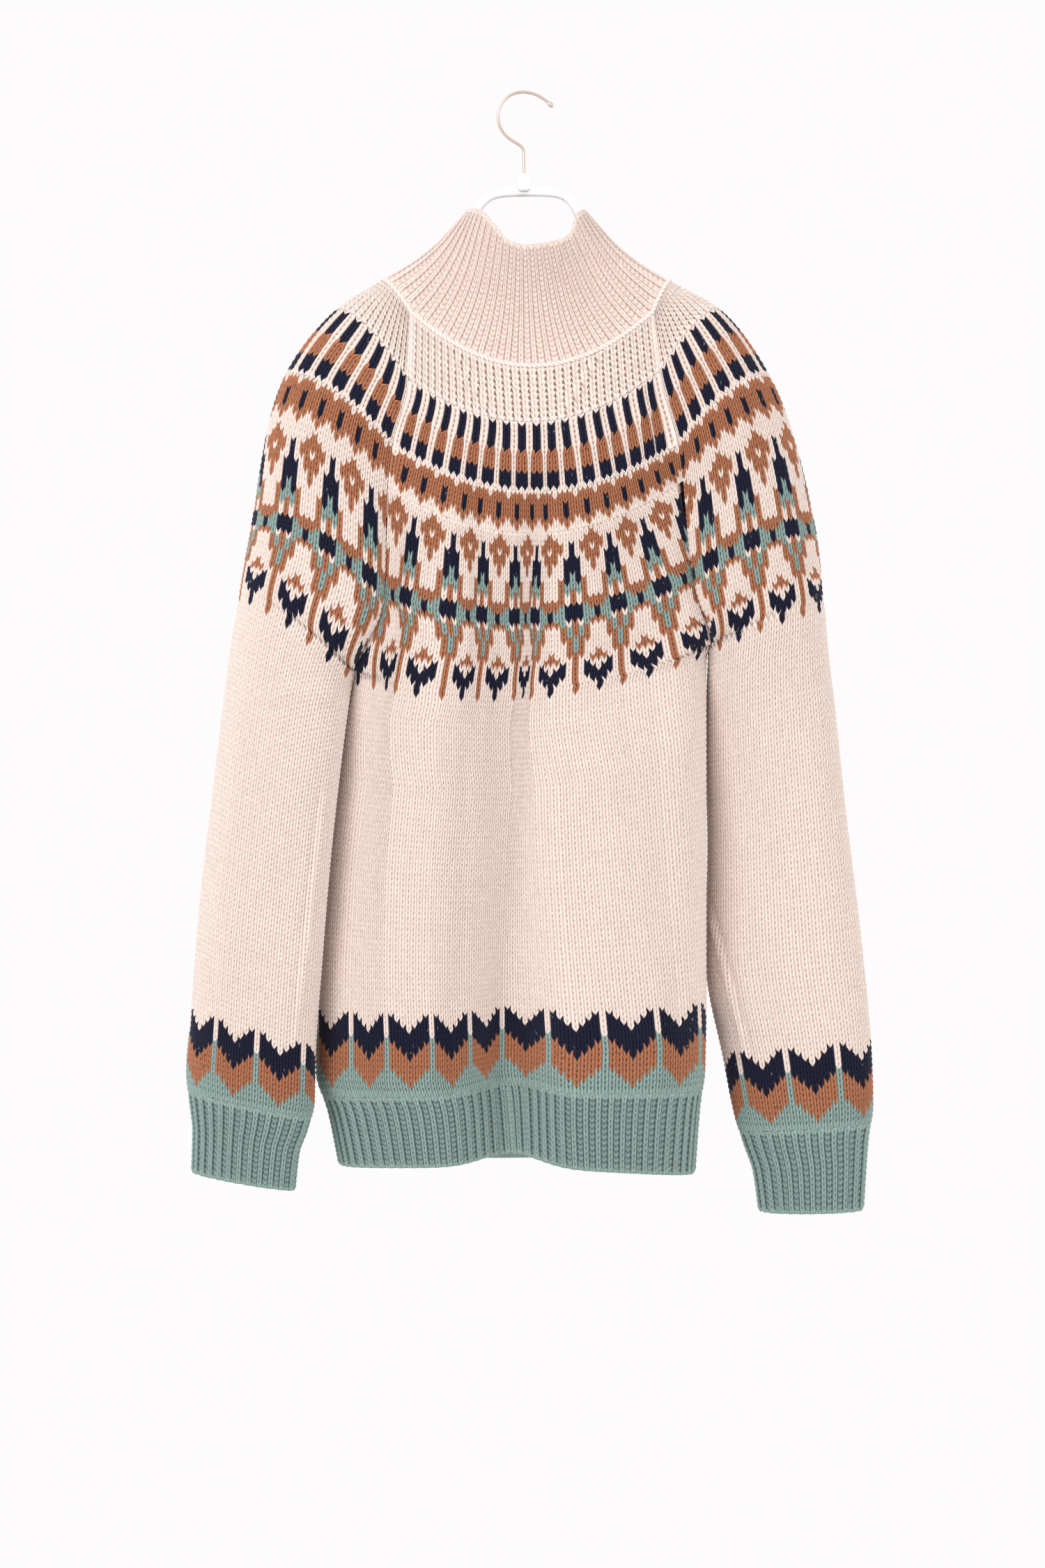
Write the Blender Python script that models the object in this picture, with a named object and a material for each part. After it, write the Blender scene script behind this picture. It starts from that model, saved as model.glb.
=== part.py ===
"""A fair isle jumper on its hanger: front, back, two raglan sleeves, ribbed collar, the plastic hanger and its
wire hook.

x runs across the jumper, y from its front (-y) to its back (+y), z up. The origin is the inner top of the
hook, where a rail bears. The tables are in millimetres, and each row of a cloth's table is one knitted row,
s below the neck seam.
"""

import bmesh
import bpy
import numpy as np

for old in list(bpy.data.objects):
    bpy.data.objects.remove(old, do_unlink=True)

# Driving dimensions, in millimetres.
WALL = 2.6  # knitted wall
SEAM, NECK_SEAM = 0.3, 0.6  # each panel, and the collar, stops this far short of its seam line
RIB_DEPTH = 1.1  # how far a rib stands over the valleys beside it
BODY_COLUMNS, SLEEVE_COLUMNS = 24, 16  # mesh columns of the plain cloth
HEM_RIBS, CUFF_RIBS = 40, 24  # of one body panel and of a cuff
COLLAR_SHARE = 40, 16, 40, 16  # rib edges of the collar over the front, a sleeve, the back and a sleeve
UNDERARM = 270.0  # rows from the neck seam to the underarm
ARMPIT = 24.0  # how far the round of the underarm reaches into each panel
BODY_RIB, BODY_END = 607.0, 657.0
SLEEVE_RIB, SLEEVE_END = 676.0, 730.0
LIFT = 1.06  # the hook's inner top over the zero of the tables
TUBE, WIRE = 3.2, 1.25  # radii of the hanger's moulding and of the hook's wire


def table(names, *rows):
    return dict(zip(names.split(), np.array(rows, float).T))


def at(tab, name, s):
    """A column of a table at s, by a cubic that never swings past its rows."""
    x, y, s = tab["s"], tab[name], np.asarray(s, float)
    step = np.diff(x)
    d = np.diff(y) / step
    same = d[:-1] * d[1:] > 0
    mid = np.where(same, 2 * d[:-1] * d[1:] / np.where(same, d[:-1] + d[1:], 1), 0)
    m = np.concatenate([d[:1], mid, d[-1:]])
    k = np.clip(np.searchsorted(x, s) - 1, 0, len(step) - 1)
    h, t = step[k], np.clip((s - x[k]) / step[k], 0, 1)
    return (
        (1 + 2 * t) * (1 - t) ** 2 * y[k]
        + t * (1 - t) ** 2 * h * m[k]
        + t**2 * (3 - 2 * t) * y[k + 1]
        + t**2 * (t - 1) * h * m[k + 1]
    )


# The seams. x and z run down the raglan line and, below the underarm, down the side seam; yf and yb are the
# front and back raglan lines, which meet at the underarm.
LEFT_SEAM = table(
    "s x z yf yb",
    (0, -93, -188, -33, 30),
    (53, -95, -248, -41, 38),
    (107, -108, -300, -46, 40),
    (145, -112, -338, -47, 39),
    (200, -114, -405, -46, 23),
    (225, -117, -433, -44, 8),
    (270, -140, -485, -24, -24),
    (277, -141, -493, -22, -22),
    (300, -149, -517, -12, -12),
    (350, -158, -570, 1, 1),
    (430, -168, -655, 7, 7),
    (520, -173, -751, 8, 8),
    (580, -173, -815, 8, 8),
    (607, -163, -848, 7, 7),
    (657, -154, -892, 6, 6),
)
RIGHT_SEAM = table(
    "s x z yf yb",
    (0, 106, -188, -33, 30),
    (53, 112, -242, -41, 38),
    (107, 127, -299, -43, 40),
    (145, 131, -332, -40, 39),
    (200, 137, -391, -33, 31),
    (225, 142, -417, -28, 26),
    (270, 155, -462, -4, -4),
    (277, 151.5, -469, -4, -4),
    (300, 151, -496, -5, -5),
    (350, 151, -552, -6, -6),
    (430, 151, -642, -6, -6),
    (520, 151, -744, -5, -5),
    (580, 150, -812, -4, -4),
    (607, 146, -843, -3, -3),
    (657, 142, -898, -2, -2),
)
# The two body panels between those seams. zc is the height of the row's middle, crest how far the panel
# stands out, round 1 where it turns right round at its sides and 0 in the yoke; then the fold down its middle.
FRONT = table(
    "s zc crest round fold_x fold wide",
    (0, -236, 63, 0, 0, 0, 30),
    (53, -286, 65, 0, 0, 0, 30),
    (107, -340, 65, 0, 0, 0, 30),
    (145, -377, 64, 0, 0, 1, 28),
    (200, -430, 64, 0, -4, 5, 26),
    (225, -455, 65, 0.1, -5, 8, 26),
    (270, -499, 66, 0.45, -6, 14, 26),
    (300, -529, 67, 0.75, -7, 18, 27),
    (350, -580, 69, 1, -8, 24, 29),
    (430, -661, 73, 1, -9, 32, 32),
    (520, -752, 77, 1, -10, 41, 34),
    (580, -813, 79, 1, -11, 46, 34),
    (607, -840, 75, 1, -11, 46, 33),
    (657, -888, 68, 1, -11, 40, 32),
)
BACK = table(
    "s zc crest round fold_x fold wide",
    (0, -224, 52, 0, 0, 0, 30),
    (53, -279, 53, 0, 0, 0, 30),
    (107, -334, 53, 0, 0, 0, 30),
    (145, -372, 53, 0, 0, 1, 28),
    (200, -427, 54, 0, 14, 3, 30),
    (225, -452, 54, 0.1, 16, 5, 30),
    (270, -496, 55, 0.45, 18, 9, 30),
    (300, -526, 55, 0.75, 20, 11, 30),
    (350, -577, 56, 1, 22, 13, 32),
    (430, -659, 58, 1, 24, 17, 34),
    (520, -751, 60, 1, 26, 21, 36),
    (580, -813, 61, 1, 26, 23, 36),
    (607, -842, 59, 1, 26, 23, 36),
    (657, -893, 54, 1, 26, 20, 36),
)
# The sleeves: the crown line along the outside, the inner line below the underarm, how far the middle of
# each side stands to the front and to the back, and how the rows sag towards the inside.
LEFT_SLEEVE = table(
    "s xk yk zk xi yi zi front back sag",
    (0, -118, 0, -157, -93, 0, -188, 25, 22, 1.3),
    (53, -159, 0, -184, -95, 0, -248, 34, 31, 1.5),
    (107, -199, 0, -237, -108, 0, -300, 42, 36, 1.7),
    (145, -213, 0, -280, -112, 0, -338, 47, 37, 1.7),
    (200, -224, 0, -346, -114, 0, -405, 53, 33, 1.7),
    (225, -228, -1, -370, -117, 0, -433, 56, 29, 1.6),
    (270, -236, -3, -415, -140, -24, -485, 58, 18, 1.4),
    (277, -237, -3, -424, -143.5, -27, -492, 58, 16, 1.35),
    (300, -241, -4, -447, -144.5, -37, -513, 58, 9, 1.3),
    (350, -248, -6, -499, -150, -46, -559, 59, 4, 1.2),
    (430, -258, -8, -583, -158, -49, -633, 60, 2, 1.1),
    (520, -269, -8, -678, -165, -48, -716, 60, 3, 1),
    (610, -276.5, -7, -772, -171, -44, -799, 58, 5, 1),
    (650, -280, -6, -814, -172, -41, -836, 55, 6, 1),
    (676, -277, -5, -844, -178, -39, -860, 49, 5, 1),
    (695, -275, -5, -862, -184.5, -38, -878, 45, 3, 1),
    (730, -276, -5, -898, -188, -37, -909, 43, 2, 1),
)
RIGHT_SLEEVE = table(
    "s xk yk zk xi yi zi front back sag",
    (0, 122, 0, -158, 106, 0, -188, 25, 22, 1.3),
    (53, 166, 0, -184, 112, 0, -242, 34, 31, 1.5),
    (107, 205, 0, -238, 127, 0, -299, 40, 36, 1.7),
    (145, 222, 0, -280, 131, 0, -332, 43, 38, 1.7),
    (200, 240, 0, -352, 137, 0, -391, 43, 38, 1.7),
    (225, 244.5, -1, -378, 142, 0, -417, 42, 37, 1.6),
    (270, 249, -2, -426, 155, -4, -462, 38, 33, 1.4),
    (277, 250, -2, -433, 156.5, -3, -469, 37, 32, 1.35),
    (300, 252, -3, -459, 156, 4, -493, 34, 32, 1.3),
    (350, 258, -5, -513, 155, 13, -544, 29, 34, 1.2),
    (430, 267, -8, -601, 154, 18, -626, 28, 36, 1.1),
    (520, 279, -9, -700, 152, 19, -718, 29, 37, 1),
    (610, 288, -8, -798, 168, 14, -810, 30, 35, 1),
    (650, 289.5, -7, -841, 176, 12, -851, 29, 33, 1),
    (676, 286, -6, -870, 184, 10, -877, 26, 29, 1),
    (695, 284.5, -5, -890, 191, 9, -897, 24, 27, 1),
    (730, 282, -5, -929, 196, 8, -932, 23, 25, 1),
)
# The collar's rim, once round from its left side over the front: a turn in degrees and the height there.
RIM = table(
    "s z",
    (0, -97),
    (20, -99),
    (38, -103),
    (58, -118),
    (72, -130.5),
    (90, -134.5),
    (105, -133),
    (122, -129.5),
    (138, -123),
    (149, -107),
    (160, -101),
    (180, -97),
    (200, -105),
    (225, -121),
    (270, -129),
    (315, -121),
    (340, -103),
    (360, -97),
)
RIM_CENTRE, RIM_HALF_WIDTH, RIM_HALF_DEPTH = 2.0, 48.0, 50.0


def even(points, n):
    """n + 1 points spaced evenly along a fine line."""
    run = np.concatenate([[0], np.cumsum(np.linalg.norm(np.diff(points, axis=0), axis=1))])
    want = np.linspace(0, run[-1], n + 1)
    return np.stack([np.interp(want, run, points[:, k]) for k in range(3)], 1)


FINE = 0.5 - 0.5 * np.cos(np.pi * np.linspace(0, 1, 401))


def seam_point(seam, s, front):
    return np.array([at(seam, "x", s), at(seam, "yf" if front else "yb", s), at(seam, "z", s)])


def armpit(seam, s, front):
    """How far the raglan line stands off its table just above the underarm, where front and back meet."""
    start, name = 225.0, "yf" if front else "yb"
    if not start < s < UNDERARM:
        return 0.0
    meet, first = at(seam, name, UNDERARM), at(seam, name, start)
    t = (s - start) / (UNDERARM - start)
    return float(meet + (first - meet) * np.sqrt(1 - t**2) - at(seam, name, s))


def body_row(tab, s, side):
    """A knitted row of the front (side -1) or the back (side 1), from its left seam to its right seam."""
    g = {name: float(at(tab, name, s)) for name in tab}
    a, b = seam_point(LEFT_SEAM, s, side < 0), seam_point(RIGHT_SEAM, s, side < 0)
    t = FINE
    line = a + (b - a) * t[:, None]
    turn = np.abs(2 * t - 1)
    hump = g["round"] * (1 - turn**2.5) ** 0.42 + (1 - g["round"]) * (1 - turn**2.3)
    rise = g["crest"] - side * (a[1] + b[1]) / 2
    fold = np.exp(-(((line[:, 0] - g["fold_x"]) / g["wide"]) ** 2)) * (1 - turn**4)
    line[:, 1] += side * (rise * hump - g["fold"] * fold)
    for end, seam in ((a, LEFT_SEAM), (b, RIGHT_SEAM)):
        line[:, 1] += armpit(seam, s, side < 0) * np.exp(-(((line[:, 0] - end[0]) / ARMPIT) ** 2))
    line[:, 2] += (g["zc"] - (a[2] + b[2]) / 2) * (1 - turn**2)
    line[:, 2] += 0.2 * g["fold"] * fold * np.clip((s - 430) / 227, 0, 1)
    return line


def sleeve_row(tab, seam, s):
    """A knitted row of a sleeve, from its front seam over the crown line to its back seam."""
    g = {name: float(at(tab, name, s)) for name in tab}
    crown = np.array([g["xk"], g["yk"], g["zk"]])
    if s < UNDERARM:
        ends = seam_point(seam, s, True), seam_point(seam, s, False)
    else:
        ends = (np.array([g["xi"], g["yi"], g["zi"]]),) * 2
    closed = np.clip((s - 107) / (UNDERARM - 107), 0, 1) ** 2
    halves = []
    for side, end, out in zip((-1, 1), ends, (g["front"], g["back"])):
        f = FINE[:, None]  # 0 at the crown, 1 at the seam
        quarter = np.sqrt(1 - (1 - f) ** 2)
        half = np.sqrt(1 - (2 * f - 1) ** 2)
        line = crown + (end - crown) * f
        line[:, 2] = crown[2] + (end[2] - crown[2]) * FINE ** g["sag"]
        depth = closed * f + (1 - closed) * quarter
        middle = closed * 0.5 + (1 - closed) * np.sqrt(0.75)
        swell = out - side * (crown[1] + (end[1] - crown[1]) * middle)
        line[:, 1:2] = crown[1] + (end[1] - crown[1]) * depth + side * swell * half
        near = np.exp(-(((FINE - 1) * (end[0] - crown[0]) / ARMPIT) ** 2))
        line[:, 1] += armpit(seam, s, side < 0) * near
        halves.append(line)
    return np.concatenate([halves[0][::-1], halves[1][1:]])


def grid(rows, columns):
    return np.array([even(row, columns) for row in rows])


def turned(points, wrap=False):
    """Outward normals of a grid whose rows run down and whose columns run by the front to the right."""
    along = np.gradient(points, axis=1)
    if wrap:
        along[:, 0] = along[:, -1] = points[:, 1] - points[:, -2]
    down = np.gradient(points, axis=0)
    n = np.cross(down, along)
    return n / np.maximum(np.linalg.norm(n, axis=2, keepdims=True), 1e-9)


def joined(*edges):
    """Gives each set of normals along one seam their common direction."""
    mean = sum(normals[where] for normals, where in edges)
    mean /= np.linalg.norm(mean, axis=-1, keepdims=True)
    for normals, where in edges:
        normals[where] = mean


# Rows of mesh: close together where the raglans turn at the underarm.
YOKE_ROWS = np.array([0, 27, 54, 84, 116, 150, 182, 208, 230, 246, 258, 266, 270.0])
BODY_ROWS = np.concatenate([YOKE_ROWS, [277, 294, 322, 356, 396, 440, 485, 530, 572, 607, 654, 657]])
SLEEVE_ROWS = np.concatenate([YOKE_ROWS, [277, 294, 322, 362, 412, 466, 520, 575, 622, 652, 676, 727, 730]])
UNDER = len(YOKE_ROWS) - 1

front = grid([body_row(FRONT, s, -1) for s in BODY_ROWS], BODY_COLUMNS)
back = grid([body_row(BACK, s, 1) for s in BODY_ROWS], BODY_COLUMNS)[:, ::-1]
sleeve_left = grid([sleeve_row(LEFT_SLEEVE, LEFT_SEAM, s) for s in SLEEVE_ROWS], SLEEVE_COLUMNS)[:, ::-1]
sleeve_right = grid([sleeve_row(RIGHT_SLEEVE, RIGHT_SEAM, s) for s in SLEEVE_ROWS], SLEEVE_COLUMNS)

# Round the jumper as seen from above, by the front to the right.
around = [front, sleeve_right, back, sleeve_left]


def along_line(row, want):
    """Points at the shares `want` of the length of a line of points in any number of dimensions."""
    run = np.concatenate([[0], np.cumsum(np.linalg.norm(np.diff(row[:, :3], axis=0), axis=1))])
    return np.stack([np.interp(want * run[-1], run, row[:, k]) for k in range(row.shape[1])], 1)


def round_neck(each):
    """One value for each edge of a collar rib, from the front's left corner: each(number, shares)."""
    return np.concatenate(
        [each(k, np.linspace(0, 1, n, endpoint=False)) for k, n in enumerate(COLLAR_SHARE)]
    )


def collar_rows():
    """From the neck seam up to the rim, drawn in a little on the way."""
    seam = round_neck(lambda k, want: along_line(around[k][0], want))
    angle = 2 * np.pi * (np.arange(len(seam)) + COLLAR_SHARE[3] / 2) / len(seam)
    rim = np.stack(
        [
            RIM_CENTRE - RIM_HALF_WIDTH * np.cos(angle),
            -RIM_HALF_DEPTH * np.sin(angle),
            at(RIM, "z", np.degrees(angle) % 360),
        ],
        1,
    )
    rows = []
    for t in (0, 0.08, 0.35, 0.68, 1.0):
        row = seam + (rim - seam) * t
        row[:, :2] -= (row[:, :2] - [RIM_CENTRE, 0]) * 0.10 * np.sin(np.pi * t)
        rows.append(row)
    rows = np.array(rows)
    return np.concatenate([rows, rows[:, :1]], axis=1)


collar = collar_rows()

normals = {}
for name, panel in zip(("front", "sleeve_right", "back", "sleeve_left"), around):
    normals[name] = turned(panel)
normals["collar"] = -turned(collar, wrap=True)
yoke, tube = np.s_[: UNDER + 1], np.s_[UNDER + 1 :]
joined((normals["front"], np.s_[yoke, -1]), (normals["sleeve_right"], np.s_[yoke, 0]))
joined((normals["back"], np.s_[yoke, 0]), (normals["sleeve_right"], np.s_[yoke, -1]))
joined((normals["back"], np.s_[yoke, -1]), (normals["sleeve_left"], np.s_[yoke, 0]))
joined((normals["front"], np.s_[yoke, 0]), (normals["sleeve_left"], np.s_[yoke, -1]))
joined((normals["front"], np.s_[tube, -1]), (normals["back"], np.s_[tube, 0]))
joined((normals["front"], np.s_[tube, 0]), (normals["back"], np.s_[tube, -1]))
for name in ("sleeve_left", "sleeve_right"):
    joined((normals[name], np.s_[tube, 0]), (normals[name], np.s_[tube, -1]))
for name, edge in (("front", 0), ("front", -1), ("back", 0), ("back", -1)):
    normals[name][UNDER, edge] = (0, 0, -1)
for name in ("sleeve_left", "sleeve_right"):
    normals[name][UNDER, 0] = normals[name][UNDER, -1] = (0, 0, -1)
# The neck: the collar and the panels under it share their directions, and so do two panels at a corner.
names = ("front", "sleeve_right", "back", "sleeve_left")
for k, name in enumerate(names):
    meet = normals[name][0, 0] + normals[names[k - 1]][0, -1]
    normals[name][0, 0] = normals[names[k - 1]][0, -1] = meet / np.linalg.norm(meet)
starts = np.concatenate([[0], np.cumsum(COLLAR_SHARE)])
for k, name in enumerate(names):
    panel, top = around[k][0], normals[name][0]
    run = np.linalg.norm(np.diff(panel, axis=0), axis=1).cumsum()
    share = np.concatenate([[0], run]) / run[-1]
    part = normals["collar"][0, starts[k] : starts[k + 1] + 1]
    fine = np.linspace(0, 1, len(part))
    own = np.stack([np.interp(share, fine, part[:, i]) for i in range(3)], 1)
    mean = top + own
    normals[name][0] = mean / np.linalg.norm(mean, axis=1, keepdims=True)
for k, name in enumerate(names):
    meet = normals[name][0, 0] + normals[names[k - 1]][0, -1]
    normals[name][0, 0] = normals[names[k - 1]][0, -1] = meet / np.linalg.norm(meet)
tops = [np.hstack([panel[0], normals[name][0]]) for name, panel in zip(names, around)]
shared = round_neck(lambda k, want: along_line(tops[k], want)[:, 3:])
normals["collar"][0] = np.concatenate([shared, shared[:1]])


def pulled(points):
    """The grid drawn back from its seams by the seam gap, wider at the neck and at the underarm."""
    out = points.copy()
    gap = np.full((len(points), 1), SEAM)
    gap[:2, 0] = 2 * SEAM, 1.5 * SEAM
    gap[UNDER - 2 : UNDER + 2, 0] = 2 * SEAM

    def draw(edge, inside, by=SEAM):
        way = inside - edge
        return edge + way / np.linalg.norm(way, axis=-1, keepdims=True) * by

    out[:, 0] = draw(points[:, 0], points[:, 1], gap)
    out[:, -1] = draw(points[:, -1], points[:, -2], gap)
    out[0] = draw(out[0], out[1])
    return out


def collar_gap(points):
    """The collar, whose first row is its seam, drawn up from that seam by the seam gap."""
    out = points.copy()
    way = points[1] - points[0]
    out[0] += way / np.linalg.norm(way, axis=-1, keepdims=True) * NECK_SEAM
    return out


def refine(row, facing, n):
    """n + 1 points spaced evenly along the straight pieces of a row, with their directions."""
    run = np.concatenate([[0], np.cumsum(np.linalg.norm(np.diff(row, axis=0), axis=1))])
    want = np.linspace(0, run[-1], n + 1)
    found = [
        np.stack([np.interp(want, run, each[:, k]) for k in range(3)], 1)
        for each in (row, facing)
    ]
    return found[0], found[1], run / run[-1]


def zipper(a, b, a_at, b_at):
    """Triangles between two lines of vertex numbers, whose columns are a_at and b_at."""
    faces, i, j = [], 0, 0
    while i < len(a) - 1 or j < len(b) - 1:
        if j == len(b) - 1 or (i < len(a) - 1 and a_at[i + 1] <= b_at[j + 1]):
            faces.append((a[i], b[j], a[i + 1]))
            i += 1
        else:
            faces.append((a[i], b[j], b[j + 1]))
            j += 1
    return faces


def quads(block):
    """Faces of a block of vertex numbers, rows down and columns to the right, facing its front."""
    return [
        (block[i, j], block[i + 1, j], block[i + 1, j + 1], block[i, j + 1])
        for i in range(block.shape[0] - 1)
        for j in range(block.shape[1] - 1)
    ]


def walled(points, facing, ribbed, plain_rows, closed):
    """One closed wall: plain inside, and outside the first plain_rows rows of points and then ribs.

    ribbed holds a line for each ribbed row, its directions and the shares of its length where points has
    its columns. closed joins the last column to the first.
    """
    rows = len(points)
    inner = points - facing * WALL
    verts, faces = [], []

    def add(array):
        first = sum(len(v) for v in verts)
        verts.append(array.reshape(-1, 3))
        numbers = first + np.arange(array[..., 0].size).reshape(array.shape[:-1])
        return np.concatenate([numbers, numbers[:, :1]], axis=1) if closed else numbers

    fine = len(ribbed[0][0]) - 1
    level = np.where(np.arange(fine + 1) % 2 == 0, 0, -RIB_DEPTH)[:, None]
    last = -1 if closed else None
    lines = []
    for row, (line, way, _) in enumerate(ribbed):
        if row == len(ribbed) - 1:  # the cast-on edge and the neck seam are even
            line = line + (0 if closed else -0.5 * RIB_DEPTH) * way
        else:
            line = line + level * way
        lines.append(line[:last])
    fine_at = np.linspace(0, 1, fine + 1)
    low, inside = add(np.array(lines)), add(inner[:, :last])
    faces += quads(low) + [tuple(f[::-1]) for f in quads(inside)]
    if plain_rows:
        top = add(points[:plain_rows, :last])
        faces += quads(top) + zipper(top[-1], low[0], ribbed[0][2], fine_at)
        first_row, first_at = top[0], ribbed[0][2]
    else:
        first_row, first_at = low[0], fine_at
    faces += zipper(low[-1], inside[-1], fine_at, ribbed[-1][2])
    faces += [f[::-1] for f in zipper(first_row, inside[0], first_at, ribbed[0][2])]
    if not closed:
        left, right = low[:, 0], low[:, -1]
        if plain_rows:
            left, right = np.append(top[:, 0], left), np.append(top[:, -1], right)
        for i in range(rows - 1):
            faces.append((left[i], inside[i, 0], inside[i + 1, 0], left[i + 1]))
            faces.append((right[i], right[i + 1], inside[i + 1, -1], inside[i, -1]))
    return np.concatenate(verts), faces


jumper = bpy.data.collections.new("fair_isle_jumper")
bpy.context.scene.collection.children.link(jumper)


def material(name, colour, roughness, metallic=0.0):
    made = bpy.data.materials.new(name)
    made.use_nodes = True
    shader = made.node_tree.nodes["Principled BSDF"]
    shader.inputs["Base Color"].default_value = (*colour, 1)
    shader.inputs["Roughness"].default_value = roughness
    shader.inputs["Metallic"].default_value = metallic
    made.diffuse_color = (*colour, 1)
    return made


def placed(name, mesh, look):
    mesh.materials.append(look)
    made = bpy.data.objects.new(name, mesh)
    jumper.objects.link(made)
    return made


def cloth(name, wall, look):
    verts, faces = wall
    mesh = bpy.data.meshes.new(name)
    faces = [tuple(int(v) for v in face) for face in faces]
    mesh.from_pydata(((verts + [0, 0, LIFT]) * 0.001).tolist(), [], faces)
    mesh.validate()
    return placed(name, mesh, look)


OATMEAL = (0.80, 0.70, 0.62)
for name, panel in zip(names, around):
    points, facing = pulled(panel), normals[name]
    if name.startswith("sleeve"):
        start, ribs = int(np.searchsorted(SLEEVE_ROWS, SLEEVE_RIB)), CUFF_RIBS
    else:
        start, ribs = int(np.searchsorted(BODY_ROWS, BODY_RIB)), HEM_RIBS
    ribbed = [refine(points[row], facing[row], 2 * ribs) for row in range(start, len(points))]
    cloth(name, walled(points, facing, ribbed, start, False), material(name + "_wool", OATMEAL, 0.9))
rising, facing = collar_gap(collar)[::-1], normals["collar"][::-1]
shares = np.linspace(0, 1, rising.shape[1])[::2]
ribbed = [(line, way, shares) for line, way in zip(rising, facing)]
wall = walled(rising[:, ::2], facing[:, ::2], ribbed, 0, True)
cloth("collar", wall, material("collar_wool", OATMEAL, 0.9))


def rod(name, path, radius, look, resolution, steps):
    """A round bar bent smoothly along path in the plane y = 0, its ends closed: x, z, times the radius."""
    curve = bpy.data.curves.new(name, "CURVE")
    curve.dimensions = "3D"
    curve.bevel_depth = radius * 0.001
    curve.bevel_resolution = resolution
    curve.use_fill_caps = True
    curve.resolution_u = steps
    line = curve.splines.new("NURBS")
    line.points.add(len(path) - 1)
    for point, (x, z, width) in zip(line.points, path):
        point.co = (x * 0.001, 0, (z + LIFT) * 0.001, 1)
        point.radius = width
    line.use_endpoint_u = True
    line.order_u = 4
    return placed(name, curve, look)


# The hanger: a flat-topped arch in the neck, then arms that slope to the shoulders, thicker at their ends.
ARMS = [  # x, z, times the tube's radius
    (-170, -208, 1.25),
    (-163, -202, 1.5),
    (-146, -187, 1.5),
    (-121, -171, 1.4),
    (-97, -154, 1.3),
    (-74, -140, 1.2),
    (-56, -126, 1),
    (-45, -111, 1),
    (-38.5, -97, 1),
    (-29, -85.5, 1),
    (-12, -83.5, 1),
    (5, -83.5, 1),
    (20, -83.5, 1),
    (35, -85.5, 1),
    (43, -97, 1),
    (49, -111, 1),
    (60, -126, 1),
    (76, -141, 1.2),
    (97, -155, 1.3),
    (121, -172, 1.4),
    (148, -189, 1.5),
    (168, -204, 1.5),
    (176, -212, 1.25),
]
# Its boss, a short post that takes the hook's end in a blind hole.
BOSS_RADIUS, BOSS_TOP, BOSS_LOW = 5.0, -68.0, -82.0
HOLE_RADIUS, HOLE_LOW = WIRE + 0.35, -77.0
# The hook: one wire that starts in the boss, bends out to the left, goes over the rail and ends in a ball.
HOOK = [  # x, z, times the wire's radius
    (0, -76.5, 1),
    (0, -70, 1),
    (0, -60, 1),
    (0, -49, 1),
    (-1.5, -45, 1),
    (-8, -41.5, 1),
    (-15.5, -36.5, 1),
    (-20.5, -29, 1),
    (-22, -20, 1),
    (-20, -11, 1),
    (-14, -3.5, 1),
    (-6, 0.2, 1),
    (2.5, 0.4, 1),
    (11, -2, 1),
    (17.5, -6.3, 1),
    (20.6, -8.9, 1),
    (21.2, -9.4, 1.6),
    (22.4, -10.6, 1.75),
    (23.3, -11.5, 1.5),
    (23.9, -12.1, 0.8),
]

tools = bpy.data.collections.new("tools")
bpy.context.scene.collection.children.link(tools)


def as_mesh(curve):
    """A curve object made a mesh object with welded caps, which a Boolean can take."""
    graph = bpy.context.evaluated_depsgraph_get()
    mesh = bpy.data.meshes.new_from_object(curve.evaluated_get(graph))
    shape = bmesh.new()
    shape.from_mesh(mesh)
    bmesh.ops.remove_doubles(shape, verts=shape.verts, dist=1e-6)
    shape.to_mesh(mesh)
    shape.free()
    name, place = curve.name, curve.matrix_world.copy()
    bpy.data.objects.remove(curve, do_unlink=True)
    made = bpy.data.objects.new(name, mesh)
    made.matrix_world = place
    jumper.objects.link(made)
    return made


def post(name, radius, top, low):
    """An upright cylinder on the boss's axis, as a tool for a Boolean."""
    middle = ((top + low) / 2 + LIFT) * 0.001
    bpy.ops.mesh.primitive_cylinder_add(
        vertices=24, radius=radius * 0.001, depth=(top - low) * 0.001, location=(0, 0, middle)
    )
    made = bpy.context.object
    made.name = name
    for home in made.users_collection:
        home.objects.unlink(made)
    tools.objects.link(made)
    made.hide_render = made.hide_viewport = True
    made.display_type = "WIRE"
    return made


def combine(target, tool, action):
    change = target.modifiers.new(tool.name, "BOOLEAN")
    change.operation, change.solver, change.object = action, "EXACT", tool


WHITE, ROSE = (0.86, 0.85, 0.84), (0.72, 0.62, 0.58)
frame = as_mesh(rod("hanger_frame", ARMS, TUBE, material("white_plastic", WHITE, 0.35), 2, 2))
combine(frame, post("boss", BOSS_RADIUS, BOSS_TOP, BOSS_LOW), "UNION")
combine(frame, post("hook_hole", HOLE_RADIUS, BOSS_TOP + 1, HOLE_LOW), "DIFFERENCE")
rod("hanger_hook", HOOK, WIRE, material("rose_wire", ROSE, 0.3, 1.0), 1, 3)
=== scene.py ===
"""A fair isle jumper hanging on its hanger: five pieces of knitting worked out stitch by stitch, the cord-like
pick-up line round the neck, the white moulded hanger and its wire hook.

x runs across the jumper, y from its front (-y) to its back (+y), z up, in metres in the frame of the solids.
The tables of the cloth are in millimetres.
"""

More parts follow.
